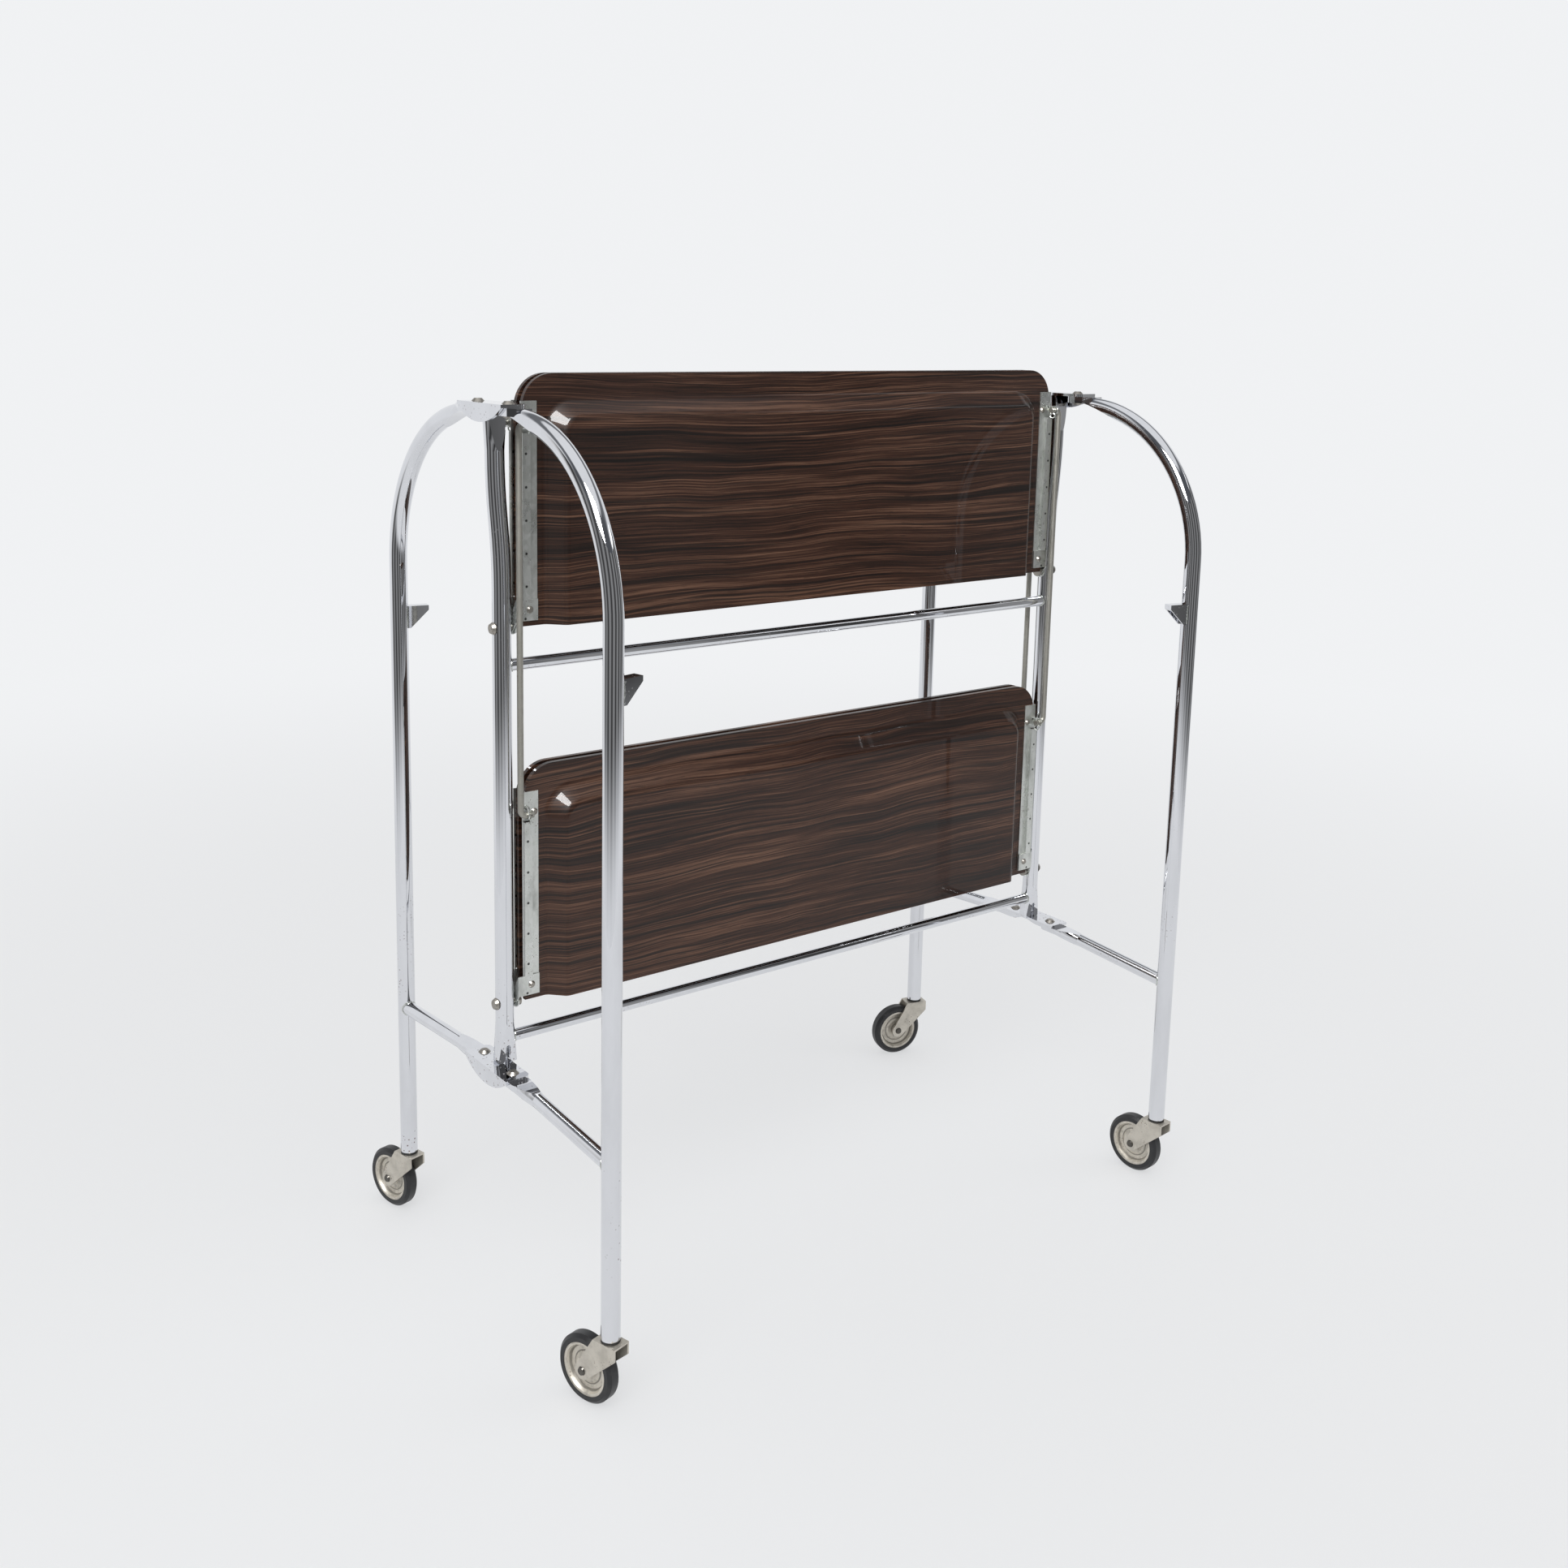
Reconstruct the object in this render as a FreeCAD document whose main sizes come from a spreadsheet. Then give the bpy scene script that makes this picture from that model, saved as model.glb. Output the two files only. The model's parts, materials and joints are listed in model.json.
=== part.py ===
# A folding tea trolley on four castors, with an upper and a lower tray.
#
# A flat frame of two posts and two rails stands in the middle. Each tray is two
# leaves that hang on bolts through the posts: folded they stand upright, back to
# back, and opened they lie level on brackets on the legs. The legs are arched
# tubes that swing about rivets in a clip at the top and the bottom of each post.
# +X runs along the trays, +Y from front to back, +Z up, and the floor is Z = 0.

import FreeCAD, Part
import math
import os
import Sketcher
from FreeCAD import Placement, Rotation, Vector

doc = FreeCAD.newDocument("drop_leaf_trolley")

# ---------------------------------------------------------------- dimensions
# Every size that can be set by itself, in millimetres or degrees.

DIMENSIONS = [
    ("post_gap", 15, "from a leaf's end out to the centre of a post"),
    ("tube_dia", 15, "outside of the post and leg tubes"),
    ("tube_wall", 1.2, "wall of the post and leg tubes"),
    ("post_flare", 5, "how far the top of a post bends outwards"),
    ("post_end_width", 19, "across a post's flattened end, along X"),
    ("post_end_depth", 9, "across a post's flattened end, along Y"),
    ("post_end_length", 34, "length over which a post's end is flattened"),
    ("post_notch_radius", 2, "half the width of the notch in a post's lower end"),
    ("post_notch_height", 13, "height of that notch"),
    ("rail_dia", 10, "outside of the rails"),
    ("rail_wall", 1, "wall of the rails"),
    ("rail_drop", 30, "from a leaf pivot down to the rail under it"),
    ("pivot_upper_z", 567, "height of the upper leaves' pivots"),
    ("link_length", 306, "between an upper and a lower pivot"),
    ("pivot_bolt_dia", 5, "bolts through the posts"),
    ("pivot_head_dia", 10, "heads and nuts of the pivot bolts"),
    ("pivot_head_thick", 2.5, "outer heads of the pivot bolts"),
    ("pivot_nut_thick", 2.5, "riveted inner ends of the pivot bolts"),
    ("clip_rise", 173, "from the upper leaves' pivots up to the top clips"),
    ("clip_fall", 20, "from the lower rail's centre down to the bottom clips"),
    ("clip_length", 70, "length of a clip, along Y"),
    ("clip_width", 20, "twice the reach of a clip inwards from its rivets"),
    ("clip_thick", 2.5, "sheet of the clips"),
    ("clip_corner", 5, "inner corners of a clip"),
    ("clip_offset", 6, "from the post's centre out to the clip's rivets"),
    ("clip_flap_drop", 12, "how far a clip's half-moon flap hangs down"),
    ("rivet_spacing", 48, "between the two rivets of a clip"),
    ("rivet_dia", 6, "shank of the leg rivets"),
    ("rivet_head_dia", 10, "heads of the leg rivets"),
    ("rivet_head_thick", 2, "height of the leg rivets' heads"),
    ("head_crown", 0.6, "flat top of a rivet or screw head, as a share of its width"),
    ("leg_reach", 148, "from a leg's hinge axis to its upright tube"),
    ("leg_straight", 15, "flattened straight part past the hinge axis"),
    ("leg_end_thick", 6, "thickness of a leg's flattened end"),
    ("leg_end_width", 19, "width of a leg's flattened end"),
    ("leg_neck", 13, "width at which the flat end runs into the tube"),
    ("leg_blend_angle", 18, "turn of the arch over which the end becomes round"),
    ("leg_foot_z", 60, "lower end of the leg tubes"),
    ("stretcher_dia", 12, "outside of the lower stretchers"),
    ("stretcher_wall", 1, "wall of the lower stretchers"),
    ("stretcher_end_thick", 5, "thickness of a stretcher's flattened end"),
    ("stretcher_end_width", 17, "width of a stretcher's flattened end"),
    ("stretcher_neck", 12, "width at which the flat end runs into the tube"),
    ("stretcher_straight", 14, "flattened straight part past the hinge axis"),
    ("stretcher_blend", 28, "length over which a stretcher becomes round"),
    ("stretcher_fall", 9, "how far a stretcher slopes down to its leg"),
    ("bracket_reach", 17, "shelf of a tray bracket, from the leg tube's side"),
    ("bracket_width", 9, "width of a bracket"),
    ("bracket_drop", 19, "height of a bracket at the tube"),
    ("bracket_lip", 4, "height of a bracket at its tip"),
    ("bracket_thick", 1.5, "sheet of the tray brackets"),
    ("bracket_turn", 12, "turn of a bracket from straight along the trays"),
    ("leaf_length", 570, "length of a leaf, along X"),
    ("leaf_height", 194, "from a leaf's split edge to its outer edge"),
    ("leaf_gap", 5.5, "between the faces of two folded leaves"),
    ("leaf_lift", 0.6, "from the pivot up to a folded leaf's split edge"),
    ("board_thick", 4, "moulded board of the leaves"),
    ("tray_depth", 12.5, "from the rim down to the well of a leaf"),
    ("rim_width", 17, "flat rim of a leaf"),
    ("slope_width", 18, "slope between rim and well"),
    ("slope_angle", 45, "steepness of the slope between rim and well"),
    ("well_corner_radius", 10, "corners of a tray's well"),
    ("leaf_corner_radius", 26, "outer corners of a leaf"),
    ("strap_width", 14, "width of the strap channels"),
    ("strap_depth", 4, "depth of the strap channels"),
    ("strap_thick", 1, "sheet of the strap channels"),
    ("strap_inset", 5, "from a leaf's end to its strap's centre line"),
    ("strap_foot", 5, "from the pivot up to a strap's foot"),
    ("head_rise", 17, "from a link rod's hook up to its strap's head"),
    ("foot_length", 17, "flat plate at a strap's foot"),
    ("head_length", 24, "flat plate at a strap's head"),
    ("ridge_width", 6, "raised ridge of a strap"),
    ("lug_margin", 4, "lug about a link rod's hook"),
    ("ear_radius", 6, "ear of a strap about the pivot"),
    ("screw_dia", 3, "shanks of the strap screws"),
    ("screw_head_dia", 6, "heads of the strap screws"),
    ("screw_head_thick", 1.5, "height of the screw heads"),
    ("screw_short", 1, "board left above a screw's tip"),
    ("hook_height", 157, "from the pivot up to a link rod's hook"),
    ("link_rod_dia", 5, "link rods"),
    ("rod_gap", 5, "from a strap's outer edge out to a link rod's centre"),
    ("link_rod_y", 14, "from the pivot's plane out to the link rods"),
    ("rod_tail", 6, "how far a link rod's end passes its lug"),
    ("rod_bend_radius", 5, "bends of the link rods"),
    ("split_pin_dia", 1.2, "wire of the split pins"),
    ("wheel_dia", 54, "outside of the castor tyres"),
    ("tyre_width", 12, "width of the castor tyres"),
    ("tyre_depth", 6, "from the tread to the disc's rim"),
    ("tyre_shoulder", 2.5, "rounding of a tyre's shoulders"),
    ("disc_thick", 1.2, "half the thickness of a wheel disc"),
    ("disc_ring", 1.2, "height of the pressed ring on a wheel disc"),
    ("hub_dia", 9, "hub tube of a wheel"),
    ("castor_trail", 22, "from the swivel axis back to the axle"),
    ("fork_thick", 1.5, "sheet of the castor forks"),
    ("fork_gap", 0.5, "from the tyre's side to a fork cheek"),
    ("fork_length", 22, "length of a fork's top plate"),
    ("fork_cheek_drop", 10, "upright front edge of a fork cheek"),
    ("fork_boss_radius", 7, "round end of a fork cheek about the axle"),
    ("fork_cheek_lean", 40, "turn of a cheek's boss from upright"),
    ("axle_head_dia", 7, "riveted heads of the castor axles"),
    ("socket_flange", 2, "flange of a castor socket, under the tube"),
    ("socket_depth", 16, "castor socket inside the tube"),
    ("axle_dia", 5, "castor axles"),
    ("stem_dia", 8, "castor stems"),
    ("stem_short", 2, "from a castor stem's end to its socket's end"),
    ("castor_turn_front_left", 15, "turn of a castor from straight back"),
    ("castor_turn_front_right", 5, "turn of a castor from straight back"),
    ("castor_turn_rear_left", 14, "turn of a castor from straight back"),
    ("castor_turn_rear_right", 75, "turn of a castor from straight back"),
    ("running_fit", 0.05, "radial clearance of the parts that turn"),
    ("side_play", 0.3, "gap beside the parts that turn"),
]

sheet = doc.addObject("Spreadsheet::Sheet", "dims")
for row, (alias, value, meaning) in enumerate(DIMENSIONS, start=1):
    sheet.set(f"A{row}", meaning)
    sheet.set(f"B{row}", str(value))
    sheet.setAlias(f"B{row}", alias)
doc.recompute()


def dimension(alias):
    """A driving dimension as a number."""
    return float(sheet.get(alias))


def number(text):
    """The value of an expression such as 'dims.tube_dia / 2'."""
    return float(sheet.evalExpression(text))


# ------------------------------------------------------------------ helpers

HALF = "half"
PLANES = {"XY": "XY_Plane", "XZ": "XZ_Plane", "YZ": "YZ_Plane"}


def new_body(name):
    body = doc.addObject("PartDesign::Body", name)
    body.Label = name
    return body


def new_sketch(body, name, plane, at="0", shift=("0", "0"), tilt="0"):
    """A sketch on one of the body's own planes.

    It stands out by 'at' along the plane's normal, moves by 'shift' in the
    plane, and leans by 'tilt' degrees about its own x axis.
    """
    sketch = body.newObject("Sketcher::SketchObject", f"{body.Name}_{name}")
    role = PLANES[plane]
    support = [item for item in body.Origin.OriginFeatures if item.Role == role][0]
    sketch.AttachmentSupport = (support, [""])
    sketch.MapMode = "FlatFace"
    move = f"vector({shift[0]}; {shift[1]}; {at})"
    lean = f"rotation(vector(1; 0; 0); {tilt})"
    sketch.setExpression("AttachmentOffset", f"placement({move}; {lean})")
    return sketch


def pin(sketch, geometry, point, x, y):
    """Hold one point of a sketch at the two given expressions."""
    for kind, text in (("DistanceX", x), ("DistanceY", y)):
        constraint = sketch.addConstraint(Sketcher.Constraint(kind, geometry, point, number(text)))
        sketch.setExpression(f"Constraints[{constraint}]", text)


def add_circle(sketch, x, y, radius):
    centre = Vector(number(x), number(y), 0)
    circle = sketch.addGeometry(Part.Circle(centre, Vector(0, 0, 1), number(radius)))
    pin(sketch, circle, 3, x, y)
    size = sketch.addConstraint(Sketcher.Constraint("Radius", circle, number(radius)))
    sketch.setExpression(f"Constraints[{size}]", radius)


def add_arc(sketch, here, there, bend):
    """An arc between two points; returns its index and its first and last point.

    bend is an expression for the radius, or HALF for a half circle. The arc
    turns left, or right where bend starts with '-'.
    """
    left = not bend.startswith("-")
    size_text = bend.lstrip("-")
    chord = there - here
    size = chord.Length / 2 if size_text == HALF else number(size_text)
    side = Vector(-chord.y, chord.x, 0).normalize()
    height = math.sqrt(max(size ** 2 - (chord.Length / 2) ** 2, 0))
    centre = (here + there) * 0.5 + side * (height if left else -height)
    first, last = (here, there) if left else (there, here)
    start = math.atan2(first.y - centre.y, first.x - centre.x)
    stop = math.atan2(last.y - centre.y, last.x - centre.x)
    arc = sketch.addGeometry(Part.ArcOfCircle(Part.Circle(centre, Vector(0, 0, 1), size), start, stop))
    if size_text == HALF:
        sketch.addConstraint(Sketcher.Constraint("Symmetric", arc, 1, arc, 2, arc, 3))
    else:
        radius = sketch.addConstraint(Sketcher.Constraint("Radius", arc, size))
        sketch.setExpression(f"Constraints[{radius}]", size_text)
    return (arc, 1, 2) if left else (arc, 2, 1)


def add_outline(sketch, corners, closed=True):
    """Lines and arcs through corners (x, y) or (x, y, bend)."""
    count = len(corners)
    points = [Vector(number(corner[0]), number(corner[1]), 0) for corner in corners]
    pieces = []
    for index in range(count if closed else count - 1):
        here, there = points[index], points[(index + 1) % count]
        if len(corners[index]) > 2:
            pieces.append(add_arc(sketch, here, there, corners[index][2]))
        else:
            pieces.append((sketch.addGeometry(Part.LineSegment(here, there)), 1, 2))
    for index, (piece, begin, _) in enumerate(pieces):
        pin(sketch, piece, begin, corners[index][0], corners[index][1])
    for (before, _, end), (after, begin, _) in zip(pieces, pieces[1:]):
        sketch.addConstraint(Sketcher.Constraint("Coincident", before, end, after, begin))
    if closed:
        first, last = pieces[0], pieces[-1]
        sketch.addConstraint(Sketcher.Constraint("Coincident", last[0], last[2], first[0], first[1]))
    else:
        pin(sketch, pieces[-1][0], pieces[-1][2], corners[-1][0], corners[-1][1])


def add_stadium(sketch, width, depth):
    """A slot shape about the sketch's origin, long along its x axis."""
    half = f"({depth}) / 2"
    flat = f"(({width}) - ({depth})) / 2"
    add_outline(sketch, [
        (f"-({flat})", f"-({half})"),
        (flat, f"-({half})", HALF),
        (flat, half),
        (f"-({flat})", half, HALF),
    ])


def dome_radius(half_width, height):
    """The radius of a low dome, as an expression."""
    return f"(({half_width}) ^ 2 + ({height}) ^ 2) / (2 * ({height}))"


def add_box(sketch, x0, x1, y0, y1):
    add_outline(sketch, [(x0, y0), (x1, y0), (x1, y1), (x0, y1)])


def feature(body, kind, name, sketch, **settings):
    """A PartDesign feature from a sketch; settings that are text are expressions."""
    item = body.newObject(f"PartDesign::{kind}", f"{body.Name}_{name}")
    item.Profile = sketch
    for key, value in settings.items():
        if isinstance(value, str) and key in ("Length", "Length2"):
            item.setExpression(key, value)
        else:
            setattr(item, key, value)
    sketch.Visibility = False
    return item


def pad(body, name, sketch, length, **settings):
    return feature(body, "Pad", name, sketch, Length=length, **settings)


def pocket(body, name, sketch, length=None, **settings):
    """Cut a sketch to a depth on its plane's far side, or right through both ways."""
    if length is None:
        return feature(body, "Pocket", name, sketch, Type="ThroughAll", SideType="Symmetric", **settings)
    return feature(body, "Pocket", name, sketch, Length=length, **settings)


def revolve(body, name, sketch, axis="H_Axis", angle="360", kind="Additive", reverse=False):
    """Turn a sketch about one of its own axes."""
    feature_type = "Revolution" if kind == "Additive" else "Groove"
    item = body.newObject(f"PartDesign::{feature_type}", f"{body.Name}_{name}")
    item.Profile = sketch
    item.ReferenceAxis = (sketch, [axis])
    item.setExpression("Angle", angle)
    item.Reversed = reverse
    return item


def cut_or_add(body, kind, name, sketch, length):
    """A straight stretch along the sketch's normal, added or cut out of the body."""
    if kind == "Additive":
        return pad(body, name, sketch, length)
    return pocket(body, name, sketch, length, Reversed=True)


def place(body, x=0, y=0, z=0, turn=0, axis=Vector(0, 0, 1)):
    """Put a finished body in the trolley, with the frame's middle over the origin."""
    body.Placement = Placement(Vector(x, y + fit.frame_shift, z), Rotation(axis, turn))
    return body


# ------------------------------------------------------- values worked out

SLOPE = "dims.slope_angle"
SLOPE_BEND = (
    f"(dims.slope_width * tan({SLOPE}) - dims.tray_depth)"
    f" / (2 * (tan({SLOPE}) * sin({SLOPE}) + cos({SLOPE}) - 1))"
)

DERIVED = [
    ("leaf_half", "dims.leaf_length / 2", "half a leaf's length"),
    ("post_x", "fit.leaf_half + dims.post_gap", "centre of a post"),
    ("hinge_x", "fit.post_x + dims.clip_offset", "centre of the clips and legs"),
    ("hinge_y", "dims.rivet_spacing / 2", "a leg's hinge axis"),
    ("leg_y", "fit.hinge_y + dims.leg_reach", "centre of the upright leg tubes"),
    ("tube_radius", "dims.tube_dia / 2", "outside of the post and leg tubes"),
    ("bore_radius", "fit.tube_radius - dims.tube_wall", "inside of the post and leg tubes"),
    ("pivot_lower_z", "dims.pivot_upper_z - dims.link_length", "height of the lower leaves' pivots"),
    ("post_bend_z", "dims.pivot_upper_z + dims.rail_drop", "where a post begins to bend outwards"),
    ("clip_top_z", "dims.pivot_upper_z + dims.clip_rise", "upper face of the top clips"),
    ("lower_rail_z", "fit.pivot_lower_z - dims.rail_drop", "centre of the lower rail"),
    ("clip_bottom_z", "fit.lower_rail_z - dims.clip_fall", "upper face of the bottom clips"),
    ("clip_under_top", "fit.clip_top_z - dims.clip_thick", "lower face of the top clips"),
    ("clip_under_bottom", "fit.clip_bottom_z - dims.clip_thick", "lower face of the bottom clips"),
    ("wheel_radius", "dims.wheel_dia / 2", "from the floor up to a castor's axle"),
    ("leaf_back", "dims.leaf_gap / 2", "a folded leaf's inner face"),
    ("leaf_top", "dims.leaf_lift + dims.leaf_height", "a leaf's outer edge above its pivot"),
    ("rivet_hole", "dims.rivet_dia / 2 + dims.running_fit", "holes that turn on the leg rivets"),
    ("rod_radius", "dims.link_rod_dia / 2", "outside of the link rods"),
    ("fork_inner", "dims.tyre_width / 2 + dims.fork_gap", "a fork cheek's inner face"),
    ("fork_half", "fit.fork_inner + dims.fork_thick", "a fork cheek's outer face"),
    ("fork_top", "dims.leg_foot_z - dims.socket_flange - dims.side_play", "top of a fork's plate"),
    ("board_face", "fit.leaf_back + dims.board_thick", "a leaf's outer face along its rim"),
    ("slope_bend", SLOPE_BEND, "rounding where the slope meets rim and well"),
    ("strap_x", "fit.leaf_half - dims.strap_inset", "centre line of the straps"),
    ("strap_edge", "fit.strap_x + dims.strap_width / 2", "outer edge of the straps"),
    ("strap_head", "dims.hook_height + dims.head_rise", "a strap's upper end above its pivot"),
    ("link_rod_x", "fit.strap_edge + dims.rod_gap", "centre of the link rods"),
    ("strap_face", "fit.board_face + dims.strap_thick", "outer face of a strap's flat plates"),
    ("ear_seat", "fit.strap_face + dims.running_fit + dims.strap_thick", "outer face of an ear's flange"),
    ("ear_far", "fit.post_x - fit.tube_radius - dims.side_play", "outer face of the outer ears"),
    ("ear_near", "fit.ear_far - dims.strap_thick - dims.side_play", "outer face of the inner ears"),
    ("bracket_top", "dims.pivot_upper_z - fit.strap_face - dims.side_play", "top of the shelves"),
]

fit = doc.addObject("App::VarSet", "fit")
for name, _, meaning in DERIVED:
    fit.addProperty("App::PropertyFloat", name, "Fit", meaning)
fit.addProperty("App::PropertyFloat", "frame_shift", "Fit", "the frame's middle plane from the origin")
for name, text, _ in DERIVED:
    fit.setExpression(name, text)
swing = "dims.castor_turn_rear_left"
rear_reach = f"(dims.castor_trail + fit.wheel_radius) * cos({swing}) + dims.tyre_width / 2 * sin({swing})"
swing = "dims.castor_turn_front_left"
front_reach = f"dims.fork_length / 2 * cos({swing}) + fit.fork_half * sin({swing})"
fit.setExpression("frame_shift", f"-(({rear_reach}) - ({front_reach})) / 2")
doc.recompute()


# ------------------------------------------------------------- tube frame

def lower_post_outline(sketch):
    """Half of a post below its bend, as the tube widens into the pressed end."""
    low, bend_low = "fit.clip_bottom_z", "fit.post_bend_z"
    add_outline(sketch, [
        ("0", low),
        ("dims.post_end_width / 2", low),
        ("fit.tube_radius", f"{low} + dims.post_end_length"),
        ("fit.tube_radius", bend_low),
        ("0", bend_low),
    ])


def post(name):
    """A tube, pressed oval at both ends, that bends outwards (+X) at the top."""
    body = new_body(name)
    low, high = "fit.clip_bottom_z", "fit.clip_under_top"
    length = "dims.post_end_length"
    flare = "dims.post_flare"
    side = "dims.post_end_width / 2"
    bend_low = "fit.post_bend_z"
    bend_high = f"({high} - {length})"
    half_rise = f"(({bend_high} - {bend_low}) / 2)"
    bend = f"({dome_radius(half_rise, f'({flare} / 2)')})"
    bend_angle = f"asin({half_rise} / {bend})"
    lower = new_sketch(body, "lower", "XZ")
    lower_post_outline(lower)
    revolve(body, "lower_tube", lower, "V_Axis")
    upper = new_sketch(body, "upper", "XZ", shift=(flare, "0"))
    add_outline(upper, [
        ("0", bend_high), ("fit.tube_radius", bend_high), (side, high), ("0", high),
    ])
    bends = (("Additive", "fit.tube_radius"), ("Subtractive", "fit.bore_radius"))
    for kind, radius in bends:
        if kind == "Subtractive":
            bore = new_sketch(body, "bore", "XY", at=f"{low} + {length}")
            add_circle(bore, "0", "0", radius)
            cut_or_add(body, kind, "lower_bore", bore, f"{bend_low} - {low} - {length}")
        first = new_sketch(body, f"{kind}_first", "XY", at=bend_low, shift=(bend, "0"))
        add_circle(first, f"-({bend})", "0", radius)
        revolve(body, f"{kind}_first_bend", first, "V_Axis", bend_angle, kind)
        second = new_sketch(body, f"{kind}_second", "XY", at=bend_high, shift=(f"{flare} - {bend}", "0"))
        add_circle(second, bend, "0", radius)
        revolve(body, f"{kind}_second_bend", second, "V_Axis", bend_angle, kind)
        if kind == "Additive":
            revolve(body, "upper_tube", upper, "V_Axis")
    for end, flat_z, round_z in (("foot", low, f"{low} + {length}"), ("head", high, bend_high)):
        press = new_sketch(body, f"{end}_press", "YZ")
        for way in ("", "-"):
            add_outline(press, [
                (f"{way}dims.post_end_depth / 2", flat_z),
                (f"{way}{side}", flat_z),
                (f"{way}{side}", round_z),
                (f"{way}fit.tube_radius", round_z),
            ])
        pocket(body, f"{end}_pressed", press)
    slots = (("foot", low, "0"), ("head", bend_high, flare))
    for end, start, across in slots:
        slot = new_sketch(body, f"{end}_slot", "XY", at=start, shift=(across, "0"))
        add_stadium(slot, "2 * fit.bore_radius - dims.tube_wall", "dims.post_end_depth - 2 * dims.tube_wall")
        cut_or_add(body, "Subtractive", f"{end}_hollow", slot, length)
    notch = new_sketch(body, "notch", "XZ")
    notch_top = f"{low} + dims.post_notch_height"
    lobe = f"{low} + ({side} - dims.post_notch_radius) / 2 - dims.side_play"
    gap = "dims.post_notch_radius"
    below = f"{low} - dims.clip_thick"
    add_outline(notch, [
        (f"-{side}", lobe, HALF),
        (f"-{gap}", lobe),
        (f"-{gap}", notch_top, f"-{HALF}"),
        (gap, notch_top),
        (gap, lobe, HALF),
        (side, lobe),
        (f"{side} + dims.clip_thick", lobe),
        (f"{side} + dims.clip_thick", below),
        (f"-{side} - dims.clip_thick", below),
        (f"-{side} - dims.clip_thick", lobe),
    ])
    pocket(body, "fish_mouth", notch)
    bolts = new_sketch(body, "bolts", "YZ")
    for height in ("dims.pivot_upper_z", "fit.pivot_lower_z"):
        add_circle(bolts, "0", height, "dims.pivot_bolt_dia / 2")
    pocket(body, "bolt_holes", bolts)
    return body


def rail(name, height):
    """A straight tube whose ends fit round the posts."""
    body = new_body(name)
    ring = new_sketch(body, "ring", "YZ")
    add_circle(ring, "0", height, "dims.rail_dia / 2")
    add_circle(ring, "0", height, "dims.rail_dia / 2 - dims.rail_wall")
    pad(body, "tube", ring, "2 * fit.post_x", SideType="Symmetric")
    for side in ("-", ""):
        key = "left" if side else "right"
        cope = new_sketch(body, f"{key}_cope", "XZ", shift=(f"{side}fit.post_x", "0"))
        lower_post_outline(cope)
        revolve(body, f"{key}_coped_end", cope, "V_Axis", "360", "Subtractive")
    return body


def clip(name, top):
    """A folded plate on a post's end; its half-moon flap stops the legs at +X."""
    body = new_body(name)
    flap = "(dims.leg_end_width / 2 + dims.side_play)"
    edge = f"({flap} + dims.clip_thick)"
    half = "dims.clip_length / 2"
    corner = "dims.clip_corner"
    inner = "dims.clip_width / 2"
    plan = new_sketch(body, "plan", "XY", at=f"{top} - dims.clip_thick")
    add_outline(plan, [
        (edge, f"-({half})"),
        (edge, half),
        (f"-({inner}) + {corner}", half, corner),
        (f"-({inner})", f"{half} - {corner}"),
        (f"-({inner})", f"-({half}) + {corner}", corner),
        (f"-({inner}) + {corner}", f"-({half})"),
    ])
    pad(body, "plate", plan, "dims.clip_thick")
    moon = new_sketch(body, "moon", "YZ", at=flap)
    add_outline(moon, [
        (f"-({half})", f"{top} - dims.clip_thick", dome_radius(half, "dims.clip_flap_drop")),
        (half, f"{top} - dims.clip_thick"),
    ])
    pad(body, "flap", moon, "dims.clip_thick")
    rivets = new_sketch(body, "rivets", "XY", at=top)
    for side in ("", "-"):
        add_circle(rivets, "0", f"{side}fit.hinge_y", "dims.rivet_dia / 2")
    pocket(body, "rivet_holes", rivets)
    return body


def hinge_rivets(name):
    """Eight rivets, each holding one end of a leg or stretcher to a clip."""
    body = new_body(name)
    levels = (
        ("upper", "fit.clip_top_z", "dims.leg_end_thick"),
        ("lower", "fit.clip_bottom_z", "dims.stretcher_end_thick"),
    )
    for level, top, grip in levels:
        for side_x in ("-", ""):
            for side_y in ("-", ""):
                spot = f"{level}_{'l' if side_x else 'r'}{'f' if side_y else 'b'}"
                across, along = f"{side_x}fit.hinge_x", f"{side_y}fit.hinge_y"
                section = new_sketch(body, spot, "XZ", at=f"-({along})", shift=(across, "0"))
                under = f"({top} - dims.clip_thick - {grip} - dims.side_play)"
                shank = "dims.rivet_dia / 2"
                head = "dims.rivet_head_dia / 2"
                high = "dims.rivet_head_thick"
                crown = f"{head} * dims.head_crown"
                add_outline(section, [
                    ("0", f"{under} - {high}"),
                    (crown, f"{under} - {high}"),
                    (head, under),
                    (shank, under),
                    (shank, top),
                    (head, top),
                    (crown, f"{top} + {high}"),
                    ("0", f"{top} + {high}"),
                ])
                revolve(body, f"{spot}_rivet", section, "V_Axis")
    return body


def pivot_bolts(name):
    """Four bolts along X, through the posts and the ears of the straps."""
    body = new_body(name)
    outer = "(fit.post_x + fit.tube_radius)"
    inner = "(fit.ear_near - dims.strap_thick - dims.side_play)"
    shank = "dims.pivot_bolt_dia / 2"
    head = "dims.pivot_head_dia / 2"
    for level, height in (("upper", "dims.pivot_upper_z"), ("lower", "fit.pivot_lower_z")):
        for side in ("-", ""):
            spot = f"{level}_{'l' if side else 'r'}"
            section = new_sketch(body, spot, "XZ", shift=("0", height))
            points = [
                (f"{inner} - dims.pivot_nut_thick", "0"),
                (f"{inner} - dims.pivot_nut_thick", head),
                (inner, head),
                (inner, shank),
                (outer, shank),
                (outer, head),
                (f"{outer} + dims.pivot_head_thick", f"{head} - dims.pivot_head_thick / 2"),
                (f"{outer} + dims.pivot_head_thick", "0"),
            ]
            add_outline(section, [(f"{side}({x})", y) for x, y in points])
            revolve(body, f"{spot}_bolt", section, "H_Axis")
    return body


# ------------------------------------------------------------------- legs

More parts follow.
